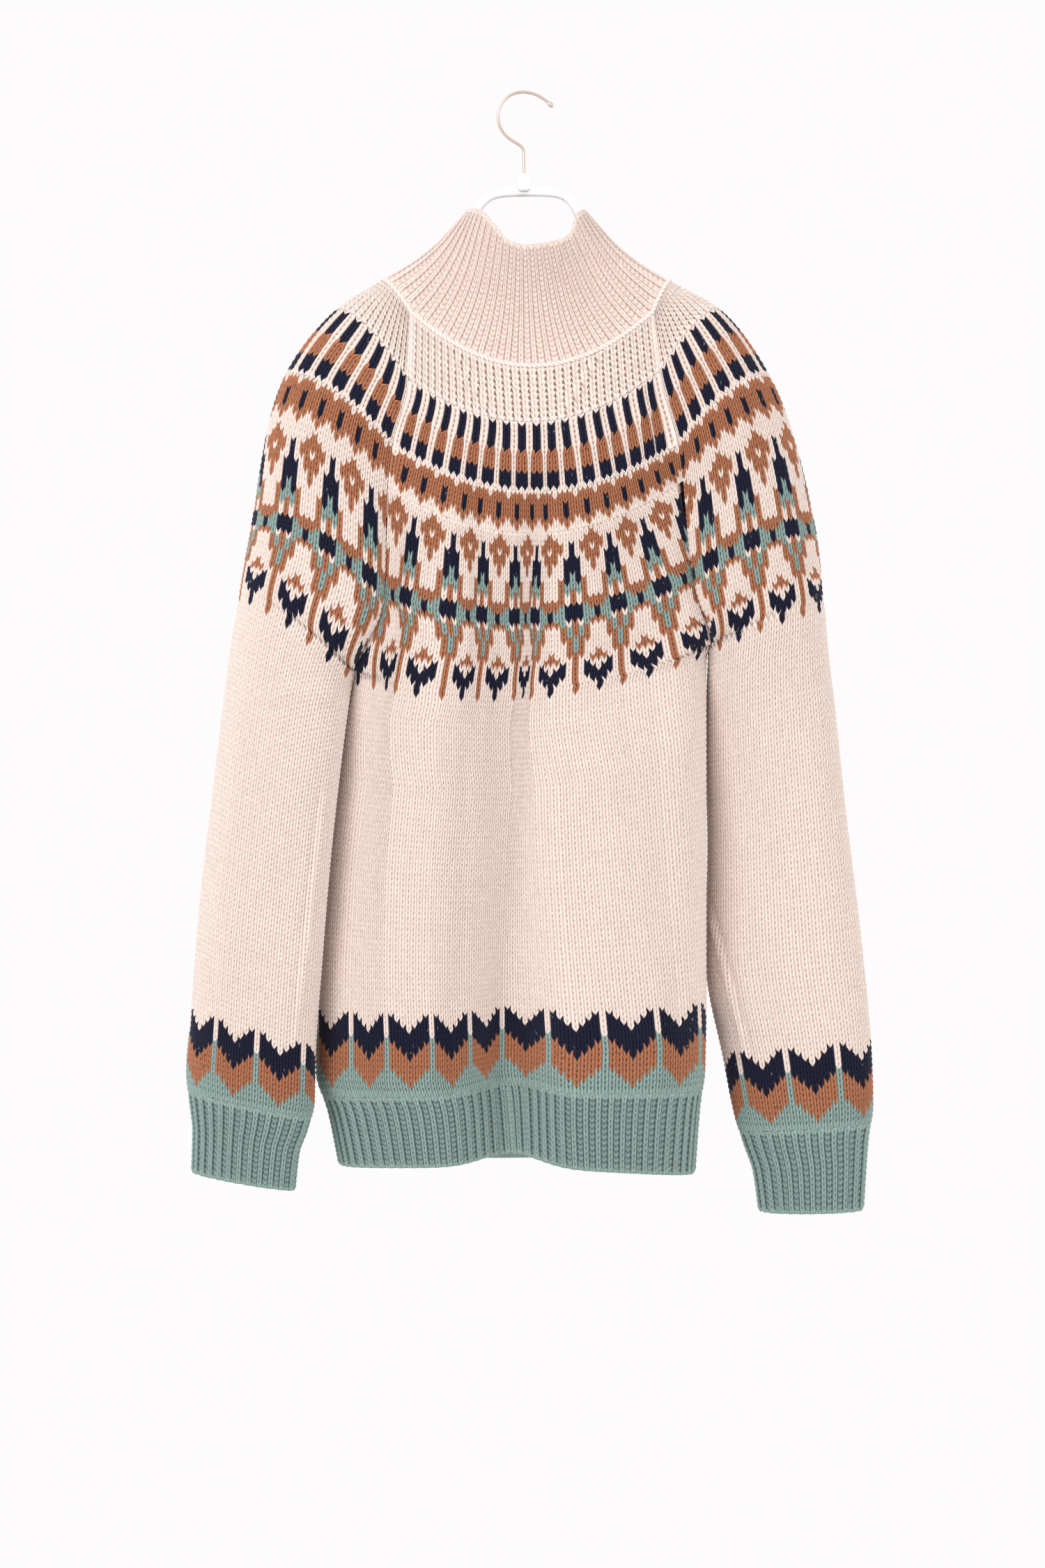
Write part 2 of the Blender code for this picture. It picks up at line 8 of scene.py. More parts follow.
import bpy
import numpy as np
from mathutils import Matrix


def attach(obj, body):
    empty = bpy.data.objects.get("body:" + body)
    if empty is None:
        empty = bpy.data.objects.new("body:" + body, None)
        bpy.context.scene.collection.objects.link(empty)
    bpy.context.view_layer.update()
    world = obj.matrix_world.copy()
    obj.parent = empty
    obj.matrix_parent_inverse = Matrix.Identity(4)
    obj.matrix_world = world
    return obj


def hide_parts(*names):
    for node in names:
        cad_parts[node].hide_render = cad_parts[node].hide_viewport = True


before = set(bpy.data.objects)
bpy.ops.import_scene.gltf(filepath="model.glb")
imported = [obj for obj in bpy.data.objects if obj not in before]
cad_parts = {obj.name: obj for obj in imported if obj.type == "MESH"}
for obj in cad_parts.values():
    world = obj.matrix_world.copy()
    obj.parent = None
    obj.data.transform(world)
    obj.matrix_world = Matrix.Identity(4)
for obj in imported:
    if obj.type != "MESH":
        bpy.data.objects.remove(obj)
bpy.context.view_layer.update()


# The stand: a pale floor well below the hem, a soft white room, one broad light from the upper left and a
# weaker one from the right. The camera looks straight at the front from 2.75 m.
def plain_look(name, colour, roughness):
    """An even surface of one colour."""
    look = bpy.data.materials.new(name)
    look.use_nodes = True
    shader = look.node_tree.nodes["Principled BSDF"]
    shader.inputs["Base Color"].default_value = (*colour, 1)
    shader.inputs["Roughness"].default_value = roughness
    return look


def linked(name, data):
    """An object of a mesh, a light or a camera, in the scene."""
    made = bpy.data.objects.new(name, data)
    bpy.context.scene.collection.objects.link(made)
    return made


def disc(name, radius, z, look):
    """A flat round plate: points at equal turns on a circle, and one face."""
    turn = np.linspace(0, 2 * np.pi, 96, endpoint=False)
    points = np.stack([radius * np.cos(turn), radius * np.sin(turn), np.full_like(turn, z)], 1)
    mesh = bpy.data.meshes.new(name)
    mesh.from_pydata(points.tolist(), [], [list(range(len(points)))])
    mesh.materials.append(look)
    return linked(name, mesh)


disc("floor", 1.2, -1.56, plain_look("pale_floor", (0.9, 0.9, 0.89), 0.8))

room = bpy.data.worlds.new("white_room")
bpy.context.scene.world = room
room.use_nodes = True
tree = room.node_tree
tree.nodes.clear()
seen, lit = tree.nodes.new("ShaderNodeBackground"), tree.nodes.new("ShaderNodeBackground")
seen.inputs["Color"].default_value = (0.985, 0.966, 0.974, 1)
lit.inputs["Color"].default_value = (1.0, 0.985, 0.97, 1)
lit.inputs["Strength"].default_value = 1.1
path, choice = tree.nodes.new("ShaderNodeLightPath"), tree.nodes.new("ShaderNodeMixShader")
out = tree.nodes.new("ShaderNodeOutputWorld")
tree.links.new(path.outputs["Is Camera Ray"], choice.inputs[0])
tree.links.new(lit.outputs[0], choice.inputs[1])
tree.links.new(seen.outputs[0], choice.inputs[2])
tree.links.new(choice.outputs[0], out.inputs["Surface"])


def softbox(name, place, aim, size, power):
    """A round area light at a place, turned to face the aim."""
    light = bpy.data.lights.new(name, "AREA")
    light.shape, light.size, light.energy = "DISK", size, power
    made = linked(name, light)
    way = np.array(aim, float) - place
    flat = np.hypot(way[0], way[1])
    made.location = place
    made.rotation_euler = (np.arctan2(flat, -way[2]), 0, np.arctan2(-way[0], way[1]))


softbox("key", (-1.7, -2.2, 1.1), (0, 0, -0.5), 1.6, 35)
softbox("fill", (2.2, -2.0, -0.2), (0, 0, -0.5), 2.0, 14)

eye = bpy.data.cameras.new("camera")
eye.lens, eye.sensor_width = 75.9, 36
eye.clip_end = 20
camera = linked("camera", eye)
camera.location, camera.rotation_euler = (-0.0012, -2.75, -0.5743), (np.pi / 2, 0, 0)
bpy.context.scene.camera = camera
bpy.context.scene.view_settings.view_transform = "Standard"


# The yarn: soft heathered wool in four colours, oatmeal, navy, rust brown and sage. Each mesh of knitting
# carries its dye face by face and, point by point, how much painted shade darkens it between the stitches.
def group(name, inputs, outputs):
    """A node group with the named inputs and outputs: (name, kind)."""
    made = bpy.data.node_groups.new(name, "ShaderNodeTree")
    for way, sockets in (("INPUT", inputs), ("OUTPUT", outputs)):
        for label, kind in sockets:
            made.interface.new_socket(label, in_out=way, socket_type=kind)
    return made, made.nodes.new("NodeGroupInput"), made.nodes.new("NodeGroupOutput")


COLOUR, NUMBER = "NodeSocketColor", "NodeSocketFloat"


def math(tree, kind, a, b=None, c=None):
    """A Math node: each of a, b and c is a number or a socket."""
    made = tree.nodes.new("ShaderNodeMath")
    made.operation = kind
    for socket, value in zip(made.inputs, (a, b, c)):
        if isinstance(value, (int, float)):
            socket.default_value = value
        elif value is not None:
            tree.links.new(value, socket)
    return made.outputs[0]


def mixed(tree, share, a, b, kind="MIX"):
    """A Mix node for colours: share, a and b are values or sockets."""
    made = tree.nodes.new("ShaderNodeMix")
    made.data_type, made.blend_type = "RGBA", kind
    for socket, value in ((made.inputs[0], share), (made.inputs[6], a), (made.inputs[7], b)):
        if isinstance(value, (int, float, tuple)):
            socket.default_value = value
        else:
            tree.links.new(value, socket)
    return made.outputs[2]


def noise(tree, place, scale, detail=2.0):
    """A Noise node, whose socket "Fac" runs from 0 to 1."""
    made = tree.nodes.new("ShaderNodeTexNoise")
    made.inputs["Scale"].default_value, made.inputs["Detail"].default_value = scale, detail
    tree.links.new(place, made.inputs["Vector"])
    return made


def yarn_group():
    """Colour: the dye, mottled by fine heather noise, with painted shade in the pits and in the grooves that part
    the legs
    of the stitches. Height: the grooves, twisted plies that cross each leg, and loose fibres. In a leg, a and b
    run from 0 in its middle to 1 at its sides and ends, and the groove's depth is (a^4 + b^4) / 2."""
    made, given, result = group(
        "heathered_yarn",
        [("Dye", COLOUR), ("Painted shade", NUMBER), ("Heather", NUMBER), ("Grooves", NUMBER)],
        [("Colour", COLOUR), ("Height", NUMBER)],
    )
    place, stitch = made.nodes.new("ShaderNodeTexCoord"), made.nodes.new("ShaderNodeUVMap")
    stitch.uv_map = "stitches"
    parts, bands = made.nodes.new("ShaderNodeSeparateXYZ"), made.nodes.new("ShaderNodeSeparateColor")
    made.links.new(stitch.outputs["UV"], parts.inputs[0])
    made.links.new(given.outputs["Dye"], bands.inputs[0])
    across = math(made, "PINGPONG", parts.outputs[0], 0.5)
    a = math(made, "ABSOLUTE", math(made, "MULTIPLY_ADD", across, 4.0, -1.0))
    b = math(made, "ABSOLUTE", math(made, "MULTIPLY_ADD", math(made, "FRACT", parts.outputs[1]), 2.0, -1.0))
    both = math(made, "ADD", math(made, "POWER", a, 4.0), math(made, "POWER", b, 4.0))
    groove = math(made, "MULTIPLY", both, 0.5)
    groove = math(made, "MULTIPLY", groove, given.outputs["Grooves"])
    mottle = noise(made, place.outputs["Object"], 420.0)
    light = math(made, "MULTIPLY_ADD", mottle.outputs["Fac"], 5.0, -2.5)
    light = math(made, "MULTIPLY_ADD", light, given.outputs["Heather"], 1.0)
    tinted = mixed(made, 1.0, given.outputs["Dye"], light, "MULTIPLY")
    # The colour of the painted shade: bluish grey under dark dyes, warm brown under pale ones.
    pale = math(made, "MULTIPLY_ADD", bands.outputs[0], 2.0, -1.0)
    shade = mixed(made, pale, (0.16, 0.19, 0.22, 1), (0.42, 0.25, 0.19, 1))
    deep = mixed(made, 1.0, tinted, shade, "MULTIPLY")
    # The grooves add painted shade, less of it in pale dyes; depth is the whole share of painted shade.
    share = math(made, "MULTIPLY", groove, math(made, "MULTIPLY_ADD", bands.outputs[0], -0.5, 1.0))
    depth = math(made, "ADD", given.outputs["Painted shade"], share)
    made.links.new(mixed(made, depth, tinted, deep), result.inputs["Colour"])
    fibres = noise(made, place.outputs["Object"], 900.0, 3.0)
    slant = math(made, "MULTIPLY_ADD", across, 7.0, math(made, "MULTIPLY", parts.outputs[1], 3.0))
    ply = math(made, "MULTIPLY", math(made, "SINE", math(made, "MULTIPLY", slant, 2 * np.pi)), 0.25)
    high = math(made, "MULTIPLY_ADD", groove, -1.6, math(made, "ADD", ply, fibres.outputs["Fac"]))
    made.links.new(high, result.inputs["Height"])
    return made


YARN = yarn_group()


def wool(name, grooves=0.75):
    """Heathered wool: rough, with a pale bloom of fibres at its edges."""
    look = bpy.data.materials.new(name)
    look.use_nodes = True
    tree = look.node_tree
    shader = tree.nodes["Principled BSDF"]
    yarn = tree.nodes.new("ShaderNodeGroup")
    yarn.node_tree = YARN
    # Grooves sets both the bump and the painted shade of the grooves between the legs.
    yarn.inputs["Heather"].default_value, yarn.inputs["Grooves"].default_value = 0.08, grooves
    # The dye attribute is the yarn's own colour; the other attribute is painted shade for the dents between the
    # stitches.
    dye, painted_shade = tree.nodes.new("ShaderNodeAttribute"), tree.nodes.new("ShaderNodeAttribute")
    dye.attribute_name, painted_shade.attribute_name = "dye", "painted_shade"
    bump = tree.nodes.new("ShaderNodeBump")
    bump.inputs["Strength"].default_value, bump.inputs["Distance"].default_value = 0.5, 0.0006
    tree.links.new(dye.outputs["Color"], yarn.inputs["Dye"])
    tree.links.new(painted_shade.outputs["Fac"], yarn.inputs["Painted shade"])
    tree.links.new(yarn.outputs["Colour"], shader.inputs["Base Color"])
    tree.links.new(yarn.outputs["Height"], bump.inputs["Height"])
    tree.links.new(bump.outputs["Normal"], shader.inputs["Normal"])
    shader.inputs["Roughness"].default_value = 0.88
    shader.inputs["Specular IOR Level"].default_value = 0.15
    shader.inputs["Sheen Weight"].default_value = 0.12
    shader.inputs["Sheen Roughness"].default_value = 0.5
    shader.inputs["Sheen Tint"].default_value = (1, 0.97, 0.94, 1)
    return look


WOOL = wool("jumper_wool")

# The front: one panel of jersey, wide stitches at the neck, then the patterned yoke with its bars, blocks,
# dashes and crowned diamonds, plain cloth, the patterned hem band and a ribbed welt. A soft fold runs down it.
UNDERARM = 270.0  # s where the body and the sleeve part
ARMPIT = 24.0  # how far across the round of the armpit reaches
LIFT = 1.06  # the hook's inner top over the zero of the tables


def table(names, *rows):
    """Columns of numbers under the names, a row for each s."""
    return dict(zip(names.split(), np.array(rows, float).T))


def at(tab, name, s):
    """A column of a table at s, by a cubic that never swings past its rows."""
    x, y, s = tab["s"], tab[name], np.asarray(s, float)
    step = np.diff(x)
    d = np.diff(y) / step
    same = d[:-1] * d[1:] > 0
    mid = np.where(same, 2 * d[:-1] * d[1:] / np.where(same, d[:-1] + d[1:], 1), 0)
    m = np.concatenate([d[:1], mid, d[-1:]])
    k = np.clip(np.searchsorted(x, s) - 1, 0, len(step) - 1)
    h, t = step[k], np.clip((s - x[k]) / step[k], 0, 1)
    return (
        (1 + 2 * t) * (1 - t) ** 2 * y[k]
        + t * (1 - t) ** 2 * h * m[k]
        + t**2 * (3 - 2 * t) * y[k + 1]
        + t**2 * (t - 1) * h * m[k + 1]
    )


# x and z down the raglan lines and the side seams; yf and yb are the front and back raglan lines.
LEFT_SEAM = table(
    "s x z yf yb",
    (0, -93, -188, -33, 30),
    (53, -95, -248, -41, 38),
    (107, -108, -300, -46, 40),
    (145, -112, -338, -47, 39),
    (200, -114, -405, -46, 23),
    (225, -117, -433, -44, 8),
    (270, -140, -485, -24, -24),
    (277, -141, -493, -22, -22),
    (300, -149, -517, -12, -12),
    (350, -158, -570, 1, 1),
    (430, -168, -655, 7, 7),
    (520, -173, -751, 8, 8),
    (580, -173, -815, 8, 8),
    (607, -163, -848, 7, 7),
    (657, -154, -892, 6, 6),
)
RIGHT_SEAM = table(
    "s x z yf yb",
    (0, 106, -188, -33, 30),
    (53, 112, -242, -41, 38),
    (107, 127, -299, -43, 40),
    (145, 131, -332, -40, 39),
    (200, 137, -391, -33, 31),
    (225, 142, -417, -28, 26),
    (270, 155, -462, -4, -4),
    (277, 151.5, -469, -4, -4),
    (300, 151, -496, -5, -5),
    (350, 151, -552, -6, -6),
    (430, 151, -642, -6, -6),
    (520, 151, -744, -5, -5),
    (580, 150, -812, -4, -4),
    (607, 146, -843, -3, -3),
    (657, 142, -898, -2, -2),
)
FRONT = table(
    "s zc crest round fold_x fold wide",
    (0, -236, 63, 0, 0, 0, 30),
    (53, -286, 65, 0, 0, 0, 30),
    (107, -340, 65, 0, 0, 0, 30),
    (145, -377, 64, 0, 0, 1, 28),
    (200, -430, 64, 0, -4, 5, 26),
    (225, -455, 65, 0.1, -5, 8, 26),
    (270, -499, 66, 0.45, -6, 14, 26),
    (300, -529, 67, 0.75, -7, 18, 27),
    (350, -580, 69, 1, -8, 24, 29),
    (430, -661, 73, 1, -9, 32, 32),
    (520, -752, 77, 1, -10, 41, 34),
    (580, -813, 79, 1, -11, 46, 34),
    (607, -840, 75, 1, -11, 46, 33),
    (657, -888, 68, 1, -11, 40, 32),
)
FINE = 0.5 - 0.5 * np.cos(np.pi * np.linspace(0, 1, 401))  # shares along a row, close at its ends


def seam_line(seam, s, front):
    """The raglan line and side seam at each s."""
    return np.stack([at(seam, "x", s), at(seam, "yf" if front else "yb", s), at(seam, "z", s)], -1)


def armpit(seam, s, front):
    """How far the raglan line stands off its table in the round just above the underarm: a quarter ellipse."""
    name, start = "yf" if front else "yb", 225.0
    meet, first = at(seam, name, UNDERARM), at(seam, name, start)
    t = np.clip((s - start) / (UNDERARM - start), 0, 1)
    off = meet + (first - meet) * np.sqrt(1 - t**2) - at(seam, name, s)
    return np.where((s > start) & (s < UNDERARM), off, 0)


def body_rows(tab, s, side):
    """Rows of a body panel: a straight line from seam to seam, raised by a hump that turns round at its ends
    below the yoke, less a fold like a bell curve; the middle of a row hangs lower than its ends."""
    s = s[:, None]
    g = {name: at(tab, name, s) for name in tab}
    a, b = seam_line(LEFT_SEAM, s, side < 0), seam_line(RIGHT_SEAM, s, side < 0)
    line = a + (b - a) * FINE[:, None]
    turn = np.abs(2 * FINE - 1)
    hump = g["round"] * (1 - turn**2.5) ** 0.42 + (1 - g["round"]) * (1 - turn**2.3)
    rise = g["crest"] - side * (a[..., 1] + b[..., 1]) / 2
    fold = np.exp(-(((line[..., 0] - g["fold_x"]) / g["wide"]) ** 2)) * (1 - turn**4)
    line[..., 1] += side * (rise * hump - g["fold"] * fold)
    for end, seam in ((a, LEFT_SEAM), (b, RIGHT_SEAM)):
        near = np.exp(-(((line[..., 0] - end[..., 0]) / ARMPIT) ** 2))
        line[..., 1] += armpit(seam, s, side < 0) * near
    line[..., 2] += (g["zc"] - (a[..., 2] + b[..., 2]) / 2) * (1 - turn**2)
    line[..., 2] += 0.2 * g["fold"] * fold * np.clip((s - 430) / 227, 0, 1)
    return line


def evened(rows, n=180):
    """The rows with n + 1 points each, at equal shares of their length."""
    run = np.linalg.norm(np.diff(rows, axis=1), axis=2).cumsum(1)
    run = np.hstack([np.zeros((len(rows), 1)), run])
    want = np.linspace(0, 1, n + 1)
    return np.array([np.stack([np.interp(want * r[-1], r, each) for each in row.T], 1) for r, row in zip(run, rows)])


def facing(grid, wrap=False):
    """Outward normals of a grid whose rows run down and whose columns run by the front to the right."""
    along = np.gradient(grid, axis=1)
    if wrap:
        along[:, 0] = along[:, -1] = grid[:, 1] - grid[:, -2]
    n = np.cross(np.gradient(grid, axis=0), along)
    return n / np.maximum(np.linalg.norm(n, axis=2, keepdims=True), 1e-9)


def creased(grid, creases, wrap=False):
    """The grid pushed out (or in, where deep is negative) along straight creases as seen from the front:
    a bell curve of the distance from each line, faded to nothing at both its ends and on the far side."""
    out = facing(grid, wrap)
    push = np.zeros(grid.shape[:2])
    for x0, z0, x1, z1, wide, deep, side in creases:
        way = np.array([x1 - x0, z1 - z0])
        length = np.hypot(*way)
        x, z = grid[..., 0] - x0, grid[..., 2] - z0
        t = (x * way[0] + z * way[1]) / length**2
        off = (x * way[1] - z * way[0]) / length
        fade = np.clip(t * 3 + 0.3, 0, 1) * np.clip((1 - t) * 3 + 0.3, 0, 1)
        fade *= fade * (3 - 2 * fade)
        seen = np.clip(out[..., 1] * side * 2, 0, 1)
        push += deep * np.exp(-((off / wide) ** 2)) * fade * seen
    return grid + out * push[..., None]


# What each column of a repeat of eight shows, row by row, from one of its mirror lines (the yoke's stems) to the
# other (its diamonds): c oatmeal, n navy, b brown, t sage.
DASHES = "bbcbb bbbbb nbbbn nbbbn nbbbn bbcbb bcccb ccccc"
MOTIF = (
    "ccccb cccbb ncbbb ncbbc nccbb nncbb nnccb nnccb tnccc tnbcc ttbcc btbcc bcbcc bcbbb nntbb nnttn nnttn "
    "bctbb btbcc btbcc tbbcc tbccc tbccc bbccb bccbb bcncc bcnnc bcnnn bccnn bcccn bcccn"
)
BAND = (
    "cnccc cnncc cnnnc cnnnn tnnnn tbnnn tbbnn tbbbn tbbbb tbbbb ttbbb tttbb ttttb ttttt ttttt ttttt ttttt"
)
CODES = "cnbt"
PALETTE = np.array(
    [(0.91, 0.785, 0.722), (0.011, 0.0125, 0.036), (0.50, 0.19, 0.095), (0.32, 0.44, 0.405)]
)


def chart(text):
    """Numbers of the dyes, one row of eight for each word of five letters."""
    half = np.array([[CODES.index(letter) for letter in word] for word in text.split()])
    return np.hstack([half, half[:, 3:0:-1]])


def yoke_dyes(row, column, phase):
    """Dyes from the dashes, which start in row 25, down to the crowns."""
    rows = np.vstack([chart(DASHES), chart(MOTIF)])
    k = row - 25
    inside = (k >= 0) & (k < len(rows))
    return np.where(inside, rows[np.clip(k, 0, len(rows) - 1), (column + phase) % 8], 0)


def band_dyes(row, column, first):
    """Dyes of the band, which starts in row first and ends above the rib, and sage below it."""
    rows = chart(BAND)
    k = row - first
    inside = rows[np.clip(k, 0, len(rows) - 1), (column + 4) % 8]
    return np.where(k < 0, 0, np.where(k >= len(rows), 3, inside))


LEAN = 0.98  # rows that a leg of a stitch climbs from its middle to its side
PURL_LEAN = 0.45  # the share of that in a purled column
RELIEF = np.array([[-1.2, 0.15, -0.6], [-0.5, 0.75, -1.0]])  # mm at a stitch's middle, leg and side
PIT_SHADE = np.array([[1.0, 0.0, 0.4], [0.45, 0.0, 0.85]])  # how much painted shade those places get
RIB_PIT_SHADE = np.array([0.6, 0.25])  # the painted shade on the two lines of a purled column
RIB_RELIEF = np.array([[-1.6, -1.5, -1.2], [-1.0, -0.8, -0.9]])  # the relief of a purled column, per mm of valley
HOLE, HOLE_SHADE = 2.2, 1.3  # mm that a hole of the open knitting is deeper, and how much painted shade it gets
BRIDGE, BRIDGE_SHADE = -0.3, 0.1  # mm where the yarn bridges two columns over such a hole, and how much painted shade that gets
BREADTH = 4  # mesh columns of a stitch
FULL = 3.2  # mm of breadth at which a stitch has its whole relief
EDGE, CAST_OFF = -0.15, -0.9  # mm at the edges between pieces or blocks, and at the first and last rows
FADE = 1.5  # rows over which a rib rises to its whole height below another block
GAP, WALL = 0.06, 2.6  # mm left at a panel's side edges, and between the two faces of the cloth
FLECKS = np.array([0.0, 0.004, 0.012, 0.004])  # the share of a dye's faces that are flecked
FLECK_DYES = np.array([0, 3, 1, 2])  # with which other dye


def strip(a, b, at_a, at_b):
    """Triangles between two lines of vertex numbers, in the order in which their points come along them."""
    order = np.argsort(np.concatenate([at_a[1:], at_b[1:]]), kind="stable")
    from_a = order < len(a) - 1
    i = np.concatenate([[0], np.cumsum(from_a)])[:-1]
    j = np.concatenate([[0], np.cumsum(~from_a)])[:-1]
    third = np.where(from_a, a[np.minimum(i + 1, len(a) - 1)], b[np.minimum(j + 1, len(b) - 1)])
    return np.stack([a[i], b[j], third], 1)


def placed(columns, *rows):
    """Where columns lie: each row is its number and then the shares of the row at the named columns."""
    rows = np.array(rows, float)
    return np.array(columns, float), rows[:, 0], rows[:, 1:]


def groups(*rows):
    """Columns in threes, an oatmeal one and the two of a block, of which the second opens below the bars. Each
    row is its number, half a block's width, how far the second column is open (0 to 1) and the blocks' middles."""
    made = []
    for row, half, opened, middles in rows:
        right = np.array(middles) + half
        edges = np.stack([right - 2 * half, right - half * opened, right], 1)
        made.append([row, 0, *edges.ravel(), 1])
    return placed(range(len(made[0]) - 1), *made)


def share(places, v, c):
    """The share of row v at which the column edge c lies: straight lines between the placed columns and rows,
    cut off at the row's ends."""
    columns, rows, shares = places
    v, c = np.broadcast_arrays(v, c)
    k = np.clip(np.searchsorted(columns, c, side="right") - 1, 0, len(columns) - 2)
    t = (c - columns[k]) / (columns[k + 1] - columns[k])
    lines = np.stack([np.interp(v, rows, column) for column in shares.T])
    low, high = (np.take_along_axis(lines, each[None], 0)[0] for each in (k, k + 1))
    return np.clip(low + (high - low) * t, 0, 1)


def surface(grid, wrap=False):
    """A function that gives the points and normals at row v and share u, between the grid's nearest points."""
    normals = facing(grid, wrap)
    rows, columns = grid.shape[:2]

    def on(v, u):
        r, q = np.clip(v * 2, 0, rows - 1 - 1e-9), np.clip(u * (columns - 1), 0, columns - 1 - 1e-9)
        i, j = r.astype(int), q.astype(int)
        a, b = (r - i)[..., None], (q - j)[..., None]
        found = []
        for g in (grid, normals):
            upper = g[i, j] * (1 - b) + g[i, j + 1] * b
            found.append(upper * (1 - a) + (g[i + 1, j] * (1 - b) + g[i + 1, j + 1] * b) * a)
        return found[0], found[1] / np.linalg.norm(found[1], axis=-1, keepdims=True)

    return on


def stitches(grid, block, last_row, wrap, inner=False):
    """A block of stitches on a grid. A stitch is a V: its lines lie at n - LEAN * (distance from its middle)
    rows, two lines a row, and stand RELIEF over the form, less in a narrow column. Two blocks meet just below
    their common row's upper edge, so that both keep the points of their V's. Seen from inside, the knitted and
    the purled columns of a rib change places."""
    top, bottom, columns = block["top"], block["bottom"], block["columns"]
    extra, tall, opened = block["extra"], block["tall"], block["open"]
    places = block["places"] or placed((0, columns), (0, 0, 1), (1, 0, 1))
    n = (top + np.arange(2 * round((bottom - top) / tall) + 3) / 2 * tall)[:, None]
    j = np.arange(-BREADTH * extra, BREADTH * columns + 1)
    x = np.abs(j % BREADTH - 2) / 2
    length = np.interp(n, np.arange(len(grid)) / 2, np.linalg.norm(np.diff(grid, axis=1), axis=2).sum(1))
    width = np.diff(share(places, n, np.arange(-extra, columns + 1)), axis=1) * length
    full = np.clip(width / FULL, 0, 1).repeat(BREADTH, 1)
    full = np.hstack([full, full[:, -1:]])
    row = top + np.arange(len(n))[:, None] // 2 * tall
    column = np.clip(j // BREADTH, -extra, columns - 1)
    purled = (column % 2 == 1) ^ inner if block["rib"] else np.zeros(len(j), bool)
    v = n - LEAN * tall * (1 - full * (1 - x) * np.where(purled, PURL_LEAN, 1))
    notch = 0.3 * purled  # the purled columns end a little short of the knitted ones
    meet = 0.06  # rows by which a block reaches over the next one's upper edge
    high = top + meet if top else notch
    low = bottom + meet if bottom < last_row else bottom - notch
    cut = (v <= high) | (v >= low)
    v = np.clip(v, high, low)
    u = share(places, v, j / BREADTH + 0 * v)
    line, place = np.arange(len(n))[:, None] % 2, np.where(x > 0.9, 2, np.where(x > 0.1, 1, 0))
    depth = np.where(purled, block["valley"] * RIB_RELIEF[line, place], RELIEF[line, place])
    if block["rib"]:
        depth = np.where(place == 2, -block["valley"], depth)
    side = RELIEF[line, 2]
    depth = side + (depth - side) * full
    dye = block["dyes"](row, column).astype(int) + 0 * column
    # Painted shade in the dents between the legs: the block's amount, times its pale share in oatmeal.
    dent_shade = block["dent_shade"] * np.where(dye == 0, block["pale"], 1) + 0 * depth
    painted_shade = PIT_SHADE[line, place] * dent_shade
    if block["rib"]:
        fade = np.clip((v - top) / FADE, 0, 1) if top else 1
        depth = EDGE + (depth - EDGE) * fade
        painted_shade = np.where(place == 2, dent_shade, np.where(purled, RIB_PIT_SHADE[line] * dent_shade, 0.6 * painted_shade))
    if opened:
        # The holes of the open knitting get strong painted shade, the bridging yarn little.
        hole, bridge = (line == 0) & (place == 2) & (full > 0.6), (line == 1) & (place == 2)
        depth = np.where(hole, depth - HOLE, np.where(bridge, BRIDGE, depth))
        painted_shade = np.where(hole, HOLE_SHADE, np.where(bridge, BRIDGE_SHADE, painted_shade))
    # Painted shade fades out towards a block's first and last lines.
    painted_shade = painted_shade * np.clip(np.minimum(v - high, low - v), 0.15, 1)
    edge = cut | (((u <= 0) | (u >= 1)) & (not wrap))
    depth = np.where(edge, np.where((v < 0.4) | (v > last_row - 0.4), CAST_OFF, EDGE), depth)
    painted_shade = np.where(edge, 0, painted_shade)
    if not wrap:
        u = GAP / length + u * (1 - 2 * GAP / length)
    uv = np.stack([j / BREADTH + 0 * v, n + 0 * v], -1)
    return {"v": v, "u": u, "depth": depth, "painted_shade": painted_shade, "dye": dye, "uv": uv}


def halves(ids):
    """Triangles of a block of vertex numbers, rows down and columns to the right, facing its front."""
    a, b, c, d = ids[:-1, :-1], ids[1:, :-1], ids[1:, 1:], ids[:-1, 1:]
    return np.stack([np.stack([a, b, c], -1), np.stack([a, c, d], -1)], 2)


